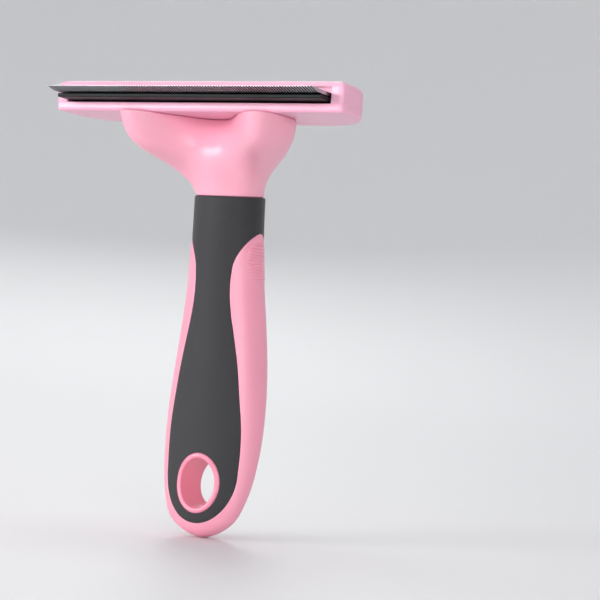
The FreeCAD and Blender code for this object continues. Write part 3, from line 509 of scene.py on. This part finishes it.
def core_ring(height, settings):
    """One ring of the handle core: front recess, side strip, rear recess, side strip."""
    sink = settings.grip_sink
    start = panel_angle(height)
    strip_sink = sink if height >= STRIP_TIP else 0.0
    recess_sink = sink if height > PANEL_BOTTOM else 0.0
    front = [handle_point(start * (2 * i / RECESS_STEPS - 1), height, recess_sink)
             for i in range(RECESS_STEPS + 1)]
    radius = settings.seam_radius
    angles, total = arc_angles(start, math.pi - start,
                               lambda length: edge_columns(radius, STRIP_STEPS, length), height)
    strip = []
    for angle, distance in zip(angles, edge_columns(radius, STRIP_STEPS, total)):
        depth = strip_sink
        if PANEL_BOTTOM < height < STRIP_TIP:
            fade = min((height - PANEL_BOTTOM) / radius, 1.0)
            depth = fade * seam_profile(min(distance, total - distance), radius)
        depth -= rib_height(angle, height, settings)
        strip.append(handle_point(angle, height, depth))
    rear = [handle_point(math.pi + start * (2 * i / RECESS_STEPS - 1), height, recess_sink)
            for i in range(RECESS_STEPS + 1)]
    left = [Vector((-point.x, point.y, point.z)) for point in reversed(strip)]
    return front + strip + rear + left


def make_core(settings):
    """The pink handle: recessed under the soft grip, with its two side strips at the surface."""
    rings = [core_ring(height, settings) for height in core_rows()]
    around = len(rings[0])
    bm = bmesh.new()
    mapped_grid(bm, around, len(rings) - 1, lambda i, j: rings[j][i % around])
    close_and_orient(bm, 2e-6)
    lean_seam(bm.verts)
    piece = finish_mesh(bm, "handle_shell", "tool", ["handle_core"], 50.0)
    subtract(piece, oval_block("core_cutter", EYELET_GAP))
    shade_by_angle(piece.data, 50.0)
    return piece


def make_eyelet():
    """The raised ring round the hanging hole: a rounded rim on each face, a wall between."""
    outer = Vector(((EYELET_HIGH.x - EYELET_LOW.x) / 2, (EYELET_HIGH.z - EYELET_LOW.z) / 2))
    inner = outer - Vector((EYELET_WALL, EYELET_WALL))
    turns = 128
    profile = ring_profile()
    bm = bmesh.new()

    def place(column, row):
        turn = 2 * math.pi * column / turns
        share, lift, face = profile[row % len(profile)]
        radius = inner.lerp(outer, share)
        x, z = radius.x * math.sin(turn), radius.y * math.cos(turn)
        half_width, half_depth, setback = handle_at(z)
        bulge = half_depth * math.sqrt(max(1 - (x / half_width) ** 2, 0.0))
        y = setback + face * (bulge - EYELET_ROOT + (EYELET_ROOT + EYELET_PROUD) * lift)
        return Vector((x, y, z))

    mapped_grid(bm, turns, len(profile), place)
    bmesh.ops.remove_doubles(bm, verts=bm.verts, dist=1e-7)
    bmesh.ops.recalc_face_normals(bm, faces=bm.faces)
    return finish_mesh(bm, "hole_ring", "tool", ["hang_eyelet"], 60.0)


def ring_profile():
    """The ring's section: share from inner to outer wall, height over the root, and face."""
    profile = []
    for face in (-1, 1):
        rim = []
        steps = 10
        rim.append((1.0, 0.0, face))
        rim.append((1.0, 0.55, face))
        for i in range(steps + 1):
            swing = math.pi * i / steps
            share = 0.5 + 0.5 * math.cos(swing)
            rim.append((share, 0.55 + 0.45 * math.sin(swing) ** 0.8, face))
        rim.append((0.0, 0.3, face))
        profile += rim if face < 0 else list(reversed(rim))
    return profile


# ---------------------------------------------------------------- neck
NECK_HALF_WIDTH = 11.9 * MM
NECK_HALF_DEPTH = 10.5 * MM
NECK_POLE_GROWTH = 1.04
NECK_EDGE = 0.45 * MM
HORN_HALF_WIDTH = 30.4 * MM
RING_SHARES = (0.0, 0.12, 0.26, 0.40, 0.54, 0.68, 0.84, 1.0)
FRONT_OPENING = (0.0, 0.06, 0.21, 0.42, 0.76, 0.90, 0.955, 1.0)
REAR_OPENING = (0.0, -0.04, 0.11, 0.37, 0.67, 0.89, 1.04, 1.0)
FRONT_WEIGHTS = (0.0, 0.2, 0.6, 1.0, 1.0, 1.0, 0.6, 0.15, 0.0, 0.0)
VALLEY_FILL = (0.0, 0.12, 0.30, 0.48, 0.53, 0.44, 0.23, 0.0)
VALLEY_SHARES = (1.0, 0.8, 0.35, 0.0, 0.0, 0.0, 0.0, 0.0, 0.0, 0.0)
COLLAR_TURNS = (0, 18, 36, 55, 75, 95, 118, 140, 160, 180)


def neck_rings():
    """Rings of points that pull the neck: an oval at the collar that opens into two horns."""
    width, depth = NECK_HALF_WIDTH * NECK_POLE_GROWTH, NECK_HALF_DEPTH * NECK_POLE_GROWTH
    horn, valley, rear = HORN_HALF_WIDTH, -NECK_HALF_DEPTH, HEAD_REAR - 0.8 * MM
    below = [Vector((width * math.sin(math.radians(turn)), -depth * math.cos(math.radians(turn))))
             for turn in COLLAR_TURNS]
    above = [Vector(pair) for pair in (
        (0.0, valley * 1.08), (horn * 0.15, valley * 1.23),
        (horn * 0.32, valley * 0.52 + HEAD_FRONT * 0.46), (horn * 0.53, HEAD_FRONT * 0.93),
        (horn * 0.74, HEAD_FRONT * 1.13), (horn * 0.95, HEAD_FRONT * 1.07),
        (horn * 1.03, HEAD_FRONT * 0.74), (horn, HEAD_FRONT * 0.30),
        (horn * 0.59, rear), (0.0, rear))]
    rings = []
    for share, front, back, fill in zip(RING_SHARES, FRONT_OPENING, REAR_OPENING, VALLEY_FILL):
        half = []
        for lower, upper, weight, valley_share in zip(below, above, FRONT_WEIGHTS, VALLEY_SHARES):
            point = lower.lerp(upper, front * weight + back * (1 - weight))
            half.append(point + Vector((0, -NECK_HALF_DEPTH * fill * valley_share)))
        mirrored = [Vector((-point.x, point.y)) for point in reversed(half[1:-1])]
        rings.append((COLLAR_TOP + share * (HEAD_UNDER - COLLAR_TOP), half + mirrored))
    return rings


def make_neck():
    """The forked neck between the collar and the head."""
    rings = neck_rings()
    around, along = 192, 72
    heights = [ring[0] for ring in rings]
    counts = len(rings[0][1])
    table = []
    for j in range(along + 1):
        share = j / along
        points = [clamped_spline([ring[1][k] for ring in rings], share) for k in range(counts)]
        height = clamped_spline(heights, share)
        line = [looped_spline(points, i / around) for i in range(around)]
        table.append([Vector((point.x, point.y, height)) for point in line])
    bm = bmesh.new()
    mapped_grid(bm, around, along, lambda i, j: table[j][i % around])
    close_and_orient(bm)
    rims = [edge for edge in bm.edges if is_rim(edge)]
    bmesh.ops.bevel(bm, geom=rims, offset=NECK_EDGE, affect="EDGES", segments=3, profile=0.5,
                    material=-1)
    lean_seam(bm.verts)
    return finish_mesh(bm, "forked_neck", "tool", ["neck"], 60.0)


def is_rim(edge):
    """True for the edges round the neck's two flat ends."""
    level = any(all(abs(vert.co.z - end) < 1e-7 for vert in edge.verts)
                for end in (COLLAR_TOP, HEAD_UNDER))
    return level and len(edge.link_faces) == 2


# ---------------------------------------------------------------- head and mechanism
BUTTON_BEVEL = 0.12 * MM
SPRING_WIRE_RADIUS = 0.225 * MM
SPRING_TURNS = 7
STEPS_PER_TURN = 24


def finished_copy(node, name, body, bevel, angle=30.0):
    """A clean copy of a CAD node's mesh with its sharp edges rounded."""
    bm = bmesh.new()
    bm.from_mesh(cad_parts[node].data)
    bmesh.ops.remove_doubles(bm, verts=bm.verts, dist=1e-6)
    bmesh.ops.dissolve_limit(bm, angle_limit=math.radians(0.5), verts=bm.verts, edges=bm.edges,
                             use_dissolve_boundaries=False)
    sharp = [edge for edge in bm.edges
             if len(edge.link_faces) == 2 and edge.calc_face_angle() > math.radians(angle)]
    bmesh.ops.bevel(bm, geom=sharp, offset=bevel, offset_type="OFFSET", affect="EDGES", segments=2,
                    profile=0.5, clamp_overlap=True, material=-1)
    return finish_mesh(bm, name, body, [node], 35.0)


def make_head(settings):
    """The two head shells."""
    return [finished_copy(node, name, "tool", settings.edge_bevel)
            for node, name in (("head_top_shell", "upper_shell"),
                               ("head_bottom_shell", "lower_shell"))]


def make_button():
    """The thumb button at the back of the head."""
    return finished_copy("push_button", "thumb_button", "ejector", BUTTON_BEVEL)


def make_spring(node, name):
    """A return spring: a coil of wire along Y that fills its CAD node's box."""
    low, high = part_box(node)
    middle = (low + high) / 2
    wire, length, steps = SPRING_WIRE_RADIUS, high.y - low.y, SPRING_TURNS * STEPS_PER_TURN
    radius = (high.x - low.x) / 2 - wire
    bm = bmesh.new()
    bmesh.ops.create_circle(bm, segments=10, radius=wire)
    bmesh.ops.rotate(bm, matrix=Matrix.Rotation(math.pi / 2, 3, "Y"), verts=bm.verts)
    bmesh.ops.translate(bm, vec=(0, 0, radius), verts=bm.verts)
    usable = length - 2 * wire
    bmesh.ops.spin(bm, geom=bm.edges[:], cent=(0, 0, 0), axis=(0, 1, 0),
                   dvec=(0, usable / steps, 0), angle=2 * math.pi * SPRING_TURNS, steps=steps,
                   use_merge=False)
    bmesh.ops.translate(bm, vec=(middle.x, low.y + wire, middle.z), verts=bm.verts)
    rims = [edge for edge in bm.edges if edge.is_boundary]
    bmesh.ops.holes_fill(bm, edges=rims, sides=0)
    bmesh.ops.recalc_face_normals(bm, faces=bm.faces)
    piece = finish_mesh(bm, name, "tool", [node], 60.0)
    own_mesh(piece)
    return piece


# ---------------------------------------------------------------- shader helpers
def new_material(name):
    """An empty node material and its tree."""
    material = bpy.data.materials.new(name)
    material.use_nodes = True
    material.node_tree.nodes.clear()
    return material, material.node_tree


def add(tree, kind, **settings):
    """A shader node with some of its settings made."""
    node = tree.nodes.new(kind)
    for key, value in settings.items():
        setattr(node, key, value)
    return node


def socket(group, name, direction, kind, default=None):
    """A socket on a node group, with its default."""
    made = group.interface.new_socket(name=name, in_out=direction, socket_type=kind)
    if default is not None:
        made.default_value = default
    return made


def moulded_group():
    """Colour, roughness and fine relief of a moulded surface: faint clouds and a fine grain."""
    group = bpy.data.node_groups.new("moulded_surface", "ShaderNodeTree")
    socket(group, "Base", "INPUT", "NodeSocketColor", (0.8, 0.8, 0.8, 1))
    socket(group, "Deep", "INPUT", "NodeSocketColor", (0.7, 0.7, 0.7, 1))
    socket(group, "Grain scale", "INPUT", "NodeSocketFloat", 3000.0)
    socket(group, "Rough low", "INPUT", "NodeSocketFloat", 0.3)
    socket(group, "Rough high", "INPUT", "NodeSocketFloat", 0.4)
    socket(group, "Color", "OUTPUT", "NodeSocketColor")
    socket(group, "Roughness", "OUTPUT", "NodeSocketFloat")
    socket(group, "Height", "OUTPUT", "NodeSocketFloat")
    inputs = add(group, "NodeGroupInput")
    outputs = add(group, "NodeGroupOutput")
    place = add(group, "ShaderNodeTexCoord")
    clouds = add(group, "ShaderNodeTexNoise")
    clouds.inputs["Scale"].default_value = 60.0
    clouds.inputs["Detail"].default_value = 3.0
    grain = add(group, "ShaderNodeTexNoise")
    grain.inputs["Detail"].default_value = 2.0
    group.links.new(inputs.outputs["Grain scale"], grain.inputs["Scale"])
    for texture in (clouds, grain):
        group.links.new(place.outputs["Object"], texture.inputs["Vector"])
    mix = add(group, "ShaderNodeMix", data_type="RGBA")
    group.links.new(clouds.outputs["Fac"], mix.inputs["Factor"])
    group.links.new(inputs.outputs["Base"], mix.inputs["A"])
    group.links.new(inputs.outputs["Deep"], mix.inputs["B"])
    rough = add(group, "ShaderNodeMapRange")
    group.links.new(grain.outputs["Fac"], rough.inputs["Value"])
    group.links.new(inputs.outputs["Rough low"], rough.inputs["To Min"])
    group.links.new(inputs.outputs["Rough high"], rough.inputs["To Max"])
    group.links.new(mix.outputs["Result"], outputs.inputs["Color"])
    group.links.new(rough.outputs["Result"], outputs.inputs["Roughness"])
    group.links.new(grain.outputs["Fac"], outputs.inputs["Height"])
    return group


def brushed_group():
    """Fine lines along X, as a belt leaves on steel, for colour, roughness and relief."""
    group = bpy.data.node_groups.new("brushed_lines", "ShaderNodeTree")
    socket(group, "Base", "INPUT", "NodeSocketColor", (0.6, 0.6, 0.6, 1))
    socket(group, "Deep", "INPUT", "NodeSocketColor", (0.4, 0.4, 0.4, 1))
    socket(group, "Rough low", "INPUT", "NodeSocketFloat", 0.25)
    socket(group, "Rough high", "INPUT", "NodeSocketFloat", 0.45)
    socket(group, "Color", "OUTPUT", "NodeSocketColor")
    socket(group, "Roughness", "OUTPUT", "NodeSocketFloat")
    socket(group, "Height", "OUTPUT", "NodeSocketFloat")
    inputs = add(group, "NodeGroupInput")
    outputs = add(group, "NodeGroupOutput")
    place = add(group, "ShaderNodeTexCoord")
    stretch = add(group, "ShaderNodeMapping")
    stretch.inputs["Scale"].default_value = (60.0, 4000.0, 4000.0)
    lines = add(group, "ShaderNodeTexNoise")
    lines.inputs["Scale"].default_value = 1.0
    lines.inputs["Detail"].default_value = 2.0
    group.links.new(place.outputs["Object"], stretch.inputs["Vector"])
    group.links.new(stretch.outputs["Vector"], lines.inputs["Vector"])
    mix = add(group, "ShaderNodeMix", data_type="RGBA")
    group.links.new(lines.outputs["Fac"], mix.inputs["Factor"])
    group.links.new(inputs.outputs["Base"], mix.inputs["A"])
    group.links.new(inputs.outputs["Deep"], mix.inputs["B"])
    rough = add(group, "ShaderNodeMapRange")
    group.links.new(lines.outputs["Fac"], rough.inputs["Value"])
    group.links.new(inputs.outputs["Rough low"], rough.inputs["To Min"])
    group.links.new(inputs.outputs["Rough high"], rough.inputs["To Max"])
    group.links.new(mix.outputs["Result"], outputs.inputs["Color"])
    group.links.new(rough.outputs["Result"], outputs.inputs["Roughness"])
    group.links.new(lines.outputs["Fac"], outputs.inputs["Height"])
    return group


# The flutes' length sets how far back from the tips the teeth carry the painted highlight and the
# gaps the painted shade.
TOOTH_PITCH = 1.0 * MM
FLUTE_LENGTH = 10.5 * MM


def painted_teeth_light_group():
    """Painted light on the blade's edge: teeth painted light as a painted highlight and the gaps
    between them painted dark as painted shade, on a plain plate behind that is painted dark as a
    painted dark reflection.
    """
    group = bpy.data.node_groups.new("painted_teeth_light", "ShaderNodeTree")
    socket(group, "Plate dark reflection", "INPUT", "NodeSocketColor", (0.2, 0.2, 0.2, 1))
    socket(group, "Tooth highlight", "INPUT", "NodeSocketColor", (0.6, 0.6, 0.6, 1))
    socket(group, "Gap shade", "INPUT", "NodeSocketColor", (0.05, 0.05, 0.05, 1))
    socket(group, "Pitch", "INPUT", "NodeSocketFloat", 0.001)
    socket(group, "Flute end", "INPUT", "NodeSocketFloat", 0.0)
    socket(group, "Color", "OUTPUT", "NodeSocketColor")
    inputs, outputs = add(group, "NodeGroupInput"), add(group, "NodeGroupOutput")
    place = add(group, "ShaderNodeTexCoord")
    split = add(group, "ShaderNodeSeparateXYZ")
    turns = add(group, "ShaderNodeMath", operation="DIVIDE")
    radians = add(group, "ShaderNodeMath", operation="MULTIPLY")
    radians.inputs[1].default_value = 2 * math.pi
    wave = add(group, "ShaderNodeMath", operation="COSINE")
    # A wave along X at the tooth pitch puts the painted highlight colour on the teeth and the
    # painted shade colour in the gaps between them.
    tooth_highlight = add(group, "ShaderNodeMapRange", interpolation_type="SMOOTHSTEP")
    tooth_highlight.inputs["From Min"].default_value = 0.05
    tooth_highlight.inputs["From Max"].default_value = 0.6
    behind = add(group, "ShaderNodeMath", operation="GREATER_THAN")
    highlight_and_gap_shade = add(group, "ShaderNodeMix", data_type="RGBA")
    mix = add(group, "ShaderNodeMix", data_type="RGBA")
    group.links.new(place.outputs["Object"], split.inputs["Vector"])
    group.links.new(split.outputs["X"], turns.inputs[0])
    group.links.new(inputs.outputs["Pitch"], turns.inputs[1])
    group.links.new(turns.outputs["Value"], radians.inputs[0])
    group.links.new(radians.outputs["Value"], wave.inputs[0])
    group.links.new(wave.outputs["Value"], tooth_highlight.inputs["Value"])
    group.links.new(split.outputs["Y"], behind.inputs[0])
    group.links.new(inputs.outputs["Flute end"], behind.inputs[1])
    group.links.new(tooth_highlight.outputs["Result"], highlight_and_gap_shade.inputs["Factor"])
    group.links.new(inputs.outputs["Gap shade"], highlight_and_gap_shade.inputs["A"])
    group.links.new(inputs.outputs["Tooth highlight"], highlight_and_gap_shade.inputs["B"])
    # Behind the flutes the plate's painted dark reflection colour takes over.
    group.links.new(behind.outputs["Value"], mix.inputs["Factor"])
    group.links.new(highlight_and_gap_shade.outputs["Result"], mix.inputs["A"])
    group.links.new(inputs.outputs["Plate dark reflection"], mix.inputs["B"])
    group.links.new(mix.outputs["Result"], outputs.inputs["Color"])
    return group


def blade_steel(plate_dark_reflection, tooth_highlight, gap):
    """The comb's steel: brushed, with the plate painted dark as a painted dark reflection, the
    teeth painted lighter as a painted highlight and the gaps painted dark as painted shade.
    """
    material = steel("blade_steel", plate_dark_reflection, 0.3, 0.5)
    tree = material.node_tree
    brushed_lines = next(node for node in tree.nodes if node.type == "GROUP")
    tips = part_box("comb_blade")[0].y
    for name, share in (("Base", 1.0), ("Deep", 0.8)):
        teeth = add(tree, "ShaderNodeGroup")
        teeth.node_tree = bpy.data.node_groups.get("painted_teeth_light") or painted_teeth_light_group()
        # The plate colour is a painted dark reflection, the tooth colour a painted highlight and
        # gap the painted shade colour between the teeth.
        teeth.inputs["Plate dark reflection"].default_value = shade(plate_dark_reflection, share)
        teeth.inputs["Tooth highlight"].default_value = shade(tooth_highlight, share)
        teeth.inputs["Gap shade"].default_value = shade(gap, share)
        teeth.inputs["Pitch"].default_value = TOOTH_PITCH
        teeth.inputs["Flute end"].default_value = tips + FLUTE_LENGTH
        tree.links.new(teeth.outputs["Color"], brushed_lines.inputs[name])
    return material


def surface_material(name, group, values, relief, shader_values):
    """A material: one surface group into a Principled shader, with a bump from its height."""
    material, tree = new_material(name)
    effect = add(tree, "ShaderNodeGroup")
    effect.node_tree = group
    for key, value in values.items():
        effect.inputs[key].default_value = value
    shader = add(tree, "ShaderNodeBsdfPrincipled")
    for key, value in shader_values.items():
        shader.inputs[key].default_value = value
    output = add(tree, "ShaderNodeOutputMaterial")
    bump = add(tree, "ShaderNodeBump")
    bump.inputs["Strength"].default_value = relief[0]
    bump.inputs["Distance"].default_value = relief[1]
    tree.links.new(effect.outputs["Color"], shader.inputs["Base Color"])
    tree.links.new(effect.outputs["Roughness"], shader.inputs["Roughness"])
    tree.links.new(effect.outputs["Height"], bump.inputs["Height"])
    tree.links.new(bump.outputs["Normal"], shader.inputs["Normal"])
    tree.links.new(shader.outputs["BSDF"], output.inputs["Surface"])
    return material


def shade(colour, share):
    """A colour made darker by a share, with full alpha."""
    return (*[channel * share for channel in colour], 1.0)


def plastic(name, colour, low=0.32, high=0.42):
    """Satin moulded plastic that lets a little light in."""
    values = {"Base": shade(colour, 1.0), "Deep": shade(colour, 0.96), "Grain scale": 2600.0,
              "Rough low": low, "Rough high": high}
    shader_values = {"IOR": 1.5, "Specular IOR Level": 0.7, "Subsurface Weight": 0.12,
                     "Subsurface Radius": (1.0, 0.5, 0.45), "Subsurface Scale": 0.0012}
    return surface_material(name, moulded(), values, (0.08, 0.00004), shader_values)


def rubber(name, colour):
    """Soft matt rubber with a fine grain."""
    values = {"Base": shade(colour, 1.15), "Deep": shade(colour, 0.8), "Grain scale": 3400.0,
              "Rough low": 0.55, "Rough high": 0.78}
    shader_values = {"IOR": 1.5, "Specular IOR Level": 0.45, "Sheen Weight": 0.15,
                     "Sheen Roughness": 0.5}
    return surface_material(name, moulded(), values, (0.55, 0.00012), shader_values)


def steel(name, colour, low=0.22, high=0.4):
    """Brushed steel."""
    values = {"Base": shade(colour, 1.0), "Deep": shade(colour, 0.72), "Rough low": low,
              "Rough high": high}
    return surface_material(name, brushed(), values, (0.12, 0.00003), {"Metallic": 1.0})


def moulded():
    """The node group that all moulded surfaces share."""
    return bpy.data.node_groups.get("moulded_surface") or moulded_group()


def brushed():
    """The node group that all steel surfaces share."""
    return bpy.data.node_groups.get("brushed_lines") or brushed_group()


def dress(piece, material):
    """Give an object one material on all its faces."""
    piece.data.materials.clear()
    piece.data.materials.append(material)


# ---------------------------------------------------------------- operators
# Blade colours: the plate's dark is a painted dark reflection, the teeth's light grey a painted
# highlight and the gaps' near black painted shade.
PLATE_DARK_REFLECTION_COLOUR = (0.15, 0.155, 0.165)
TOOTH_HIGHLIGHT_COLOUR = (0.50, 0.50, 0.53)
GAP_SHADE_COLOUR = (0.02, 0.02, 0.022)
STRIP_COLOUR = (0.035, 0.038, 0.038)
SPRING_COLOUR = (0.55, 0.55, 0.57)
ZINC_COLOUR = (0.60, 0.60, 0.61)
FASTENERS = ("blade_screws", "neck_screws", "button_screw", "ejector_rivets", "tenon_pins",
             "guide_pins")


class COMB_OT_handle(bpy.types.Operator):
    """Build the handle core, the soft grip and the hanging hole's ring"""

    bl_idname = "comb.handle"
    bl_label = "Handle"

    def execute(self, context):
        settings, finish = context.scene.comb_shape, context.scene.comb_finish
        pink = plastic("handle_pink", finish.handle_pink)
        dress(make_core(settings), pink)
        dress(make_grip(settings), rubber("grip_rubber", finish.grip_grey))
        # The ring's material is partly its pink and partly painted shade for the inside of the
        # hole.
        dress(make_eyelet(), plastic("eyelet_pink_and_hole_shade", finish.eyelet_pink_and_hole_shade))
        return {"FINISHED"}


class COMB_OT_neck(bpy.types.Operator):
    """Build the forked neck"""

    bl_idname = "comb.neck"
    bl_label = "Neck"

    def execute(self, context):
        dress(make_neck(), plastic("neck_pink", context.scene.comb_finish.neck_pink))
        return {"FINISHED"}


class COMB_OT_head(bpy.types.Operator):
    """Build the two shells of the head"""

    bl_idname = "comb.head"
    bl_label = "Head shells"

    def execute(self, context):
        pink = plastic("head_pink", context.scene.comb_finish.head_pink)
        for piece in make_head(context.scene.comb_shape):
            dress(piece, pink)
        return {"FINISHED"}


class COMB_OT_comb(bpy.types.Operator):
    """Finish the steel comb and the screws that hold it"""

    bl_idname = "comb.comb"
    bl_label = "Comb blade"

    def execute(self, context):
        # The blade carries painted light: a painted highlight on the teeth, painted shade in the
        # gaps and a painted dark reflection on the plate.
        blade = blade_steel(PLATE_DARK_REFLECTION_COLOUR, TOOTH_HIGHLIGHT_COLOUR, GAP_SHADE_COLOUR)
        dress(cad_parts["comb_blade"], blade)
        zinc = steel("zinc", ZINC_COLOUR, 0.3, 0.45)
        for name in FASTENERS:
            dress(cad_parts[name], zinc)
        return {"FINISHED"}


class COMB_OT_ejector(bpy.types.Operator):
    """Build the ejector strip, its slider, the thumb button and the two return springs"""

    bl_idname = "comb.ejector"
    bl_label = "Hair ejector"

    def execute(self, context):
        finish = context.scene.comb_finish
        dress(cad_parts["ejector_strip"], steel("strip_steel", STRIP_COLOUR, 0.5, 0.62))
        slider = plastic("slider_pink", finish.handle_pink)
        dress(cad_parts["ejector_slider"], slider)
        dress(make_button(), rubber("button_grey", finish.grip_grey))
        spring = steel("spring_wire", SPRING_COLOUR)
        dress(make_spring("return_spring_right", "spring_right"), spring)
        dress(make_spring("return_spring_left", "spring_left"), spring)
        return {"FINISHED"}


class COMB_OT_stage(bpy.types.Operator):
    """Build the floor, the lights and the camera"""

    bl_idname = "comb.stage"
    bl_label = "Stage"

    def execute(self, context):
        settings = context.scene.comb_stage
        make_floor(settings.floor_steps)
        make_lights()
        make_camera(settings)
        context.scene.view_settings.view_transform = "Standard"
        return {"FINISHED"}


FLOOR_FLAT = 1.1
FLOOR_BEND = 2.4
FLOOR_WALL = 0.4
CAMERA_PLACE = (277.0 * MM, -507.5 * MM, 52.4 * MM)


def make_floor(steps):
    """A wide pale bowl: flat where the tool stands, with its rim far away."""
    bm = bmesh.new()
    flat, bend, wall = FLOOR_FLAT, FLOOR_BEND, FLOOR_WALL
    points = [(0.0, 0.0), (flat, 0.0)]
    points += [(flat + bend * math.sin(a), bend * (1 - math.cos(a)))
               for a in (math.pi / 2 * i / 16 for i in range(1, 17))]
    points.append((flat + bend, bend + wall))
    verts = [bm.verts.new((x, 0, BUTT + z)) for x, z in points]
    for first, second in zip(verts, verts[1:]):
        bm.edges.new((first, second))
    bmesh.ops.spin(bm, geom=bm.verts[:] + bm.edges[:], cent=(0, 0, 0), axis=(0, 0, 1),
                   angle=2 * math.pi, steps=steps, use_merge=True)
    bmesh.ops.remove_doubles(bm, verts=bm.verts, dist=1e-5)
    bmesh.ops.recalc_face_normals(bm, faces=bm.faces)
    bmesh.ops.reverse_faces(bm, faces=bm.faces)
    mesh = bpy.data.meshes.new("floor")
    bm.to_mesh(mesh)
    bm.free()
    mesh.polygons.foreach_set("use_smooth", [True] * len(mesh.polygons))
    floor = bpy.data.objects.new("floor", mesh)
    bpy.context.scene.collection.objects.link(floor)
    material, tree = new_material("pale_floor")
    shader = add(tree, "ShaderNodeBsdfPrincipled")
    shader.inputs["Base Color"].default_value = (0.78, 0.78, 0.79, 1)
    shader.inputs["Roughness"].default_value = 0.6
    output = add(tree, "ShaderNodeOutputMaterial")
    tree.links.new(shader.outputs["BSDF"], output.inputs["Surface"])
    mesh.materials.append(material)


def make_lights():
    """Soft studio light: a large key from the left, a fill from the right, and light from above."""
    centre = Vector((0, 0, 60 * MM))
    for name, place, size, power in (
            ("key", (-1.15, -1.6, 0.12), 1.1, 42.0),
            ("fill", (1.2, -1.5, 0.06), 1.0, 20.0),
            ("top", (-0.3, 0.0, 1.9), 1.2, 7.0),
            ("back", (-0.9, 1.4, 0.9), 0.9, 6.0)):
        lamp = bpy.data.lights.new(name, "AREA")
        lamp.shape = "DISK"
        lamp.size = size
        lamp.energy = power
        thing = bpy.data.objects.new(name, lamp)
        bpy.context.scene.collection.objects.link(thing)
        thing.location = Vector(place) + centre
        thing.rotation_euler = (-Vector(place)).to_track_quat("-Z", "Y").to_euler()
    world = bpy.data.worlds.new("pale_sky")
    bpy.context.scene.world = world
    world.use_nodes = True
    sky = world.node_tree.nodes["Background"]
    sky.inputs["Color"].default_value = (0.97, 0.98, 1.0, 1)
    sky.inputs["Strength"].default_value = 0.62


def make_camera(settings):
    """The camera: turned towards +X, level with the handle and leaning a little."""
    turn, tilt, roll = settings.azimuth, settings.elevation, settings.roll
    level = math.cos(tilt)
    back = Vector((math.sin(turn) * level, -math.cos(turn) * level, math.sin(tilt)))
    right = Vector((math.cos(turn), math.sin(turn), 0))
    up = back.cross(right)
    leaning_right = math.cos(roll) * right - math.sin(roll) * up
    leaning_up = math.sin(roll) * right + math.cos(roll) * up
    data = bpy.data.cameras.new("camera")
    data.lens = settings.lens
    data.sensor_width = 36.0
    camera = bpy.data.objects.new("camera", data)
    bpy.context.scene.collection.objects.link(camera)
    turned = Matrix((leaning_right, leaning_up, back)).transposed().to_4x4()
    camera.matrix_world = Matrix.Translation(CAMERA_PLACE) @ turned
    bpy.context.scene.camera = camera


class COMB_PT_panel(bpy.types.Panel):
    """Lists the pieces of the comb"""

    bl_idname = "COMB_PT_panel"
    bl_label = "Deshedding comb"
    bl_space_type = "VIEW_3D"
    bl_region_type = "UI"
    bl_category = "Comb"

    def draw(self, context):
        for operator in OPERATORS:
            self.layout.operator(operator.bl_idname)
        scene = context.scene
        for settings in (scene.comb_shape, scene.comb_finish, scene.comb_stage):
            for name in settings.__annotations__:
                self.layout.prop(settings, name)


OPERATORS = (COMB_OT_handle, COMB_OT_neck, COMB_OT_head, COMB_OT_comb, COMB_OT_ejector,
             COMB_OT_stage)
CLASSES = (CombShapeSettings, CombFinishSettings, CombStageSettings, *OPERATORS, COMB_PT_panel)


def register():
    for entry in CLASSES:
        bpy.utils.register_class(entry)
    bpy.types.Scene.comb_shape = PointerProperty(type=CombShapeSettings)
    bpy.types.Scene.comb_finish = PointerProperty(type=CombFinishSettings)
    bpy.types.Scene.comb_stage = PointerProperty(type=CombStageSettings)


def unregister():
    del bpy.types.Scene.comb_stage
    del bpy.types.Scene.comb_finish
    del bpy.types.Scene.comb_shape
    for entry in reversed(CLASSES):
        bpy.utils.unregister_class(entry)


def main():
    register()
    bpy.ops.comb.handle()
    bpy.ops.comb.neck()
    bpy.ops.comb.head()
    bpy.ops.comb.comb()
    bpy.ops.comb.ejector()
    bpy.ops.comb.stage()


if __name__ == "__main__":
    main()
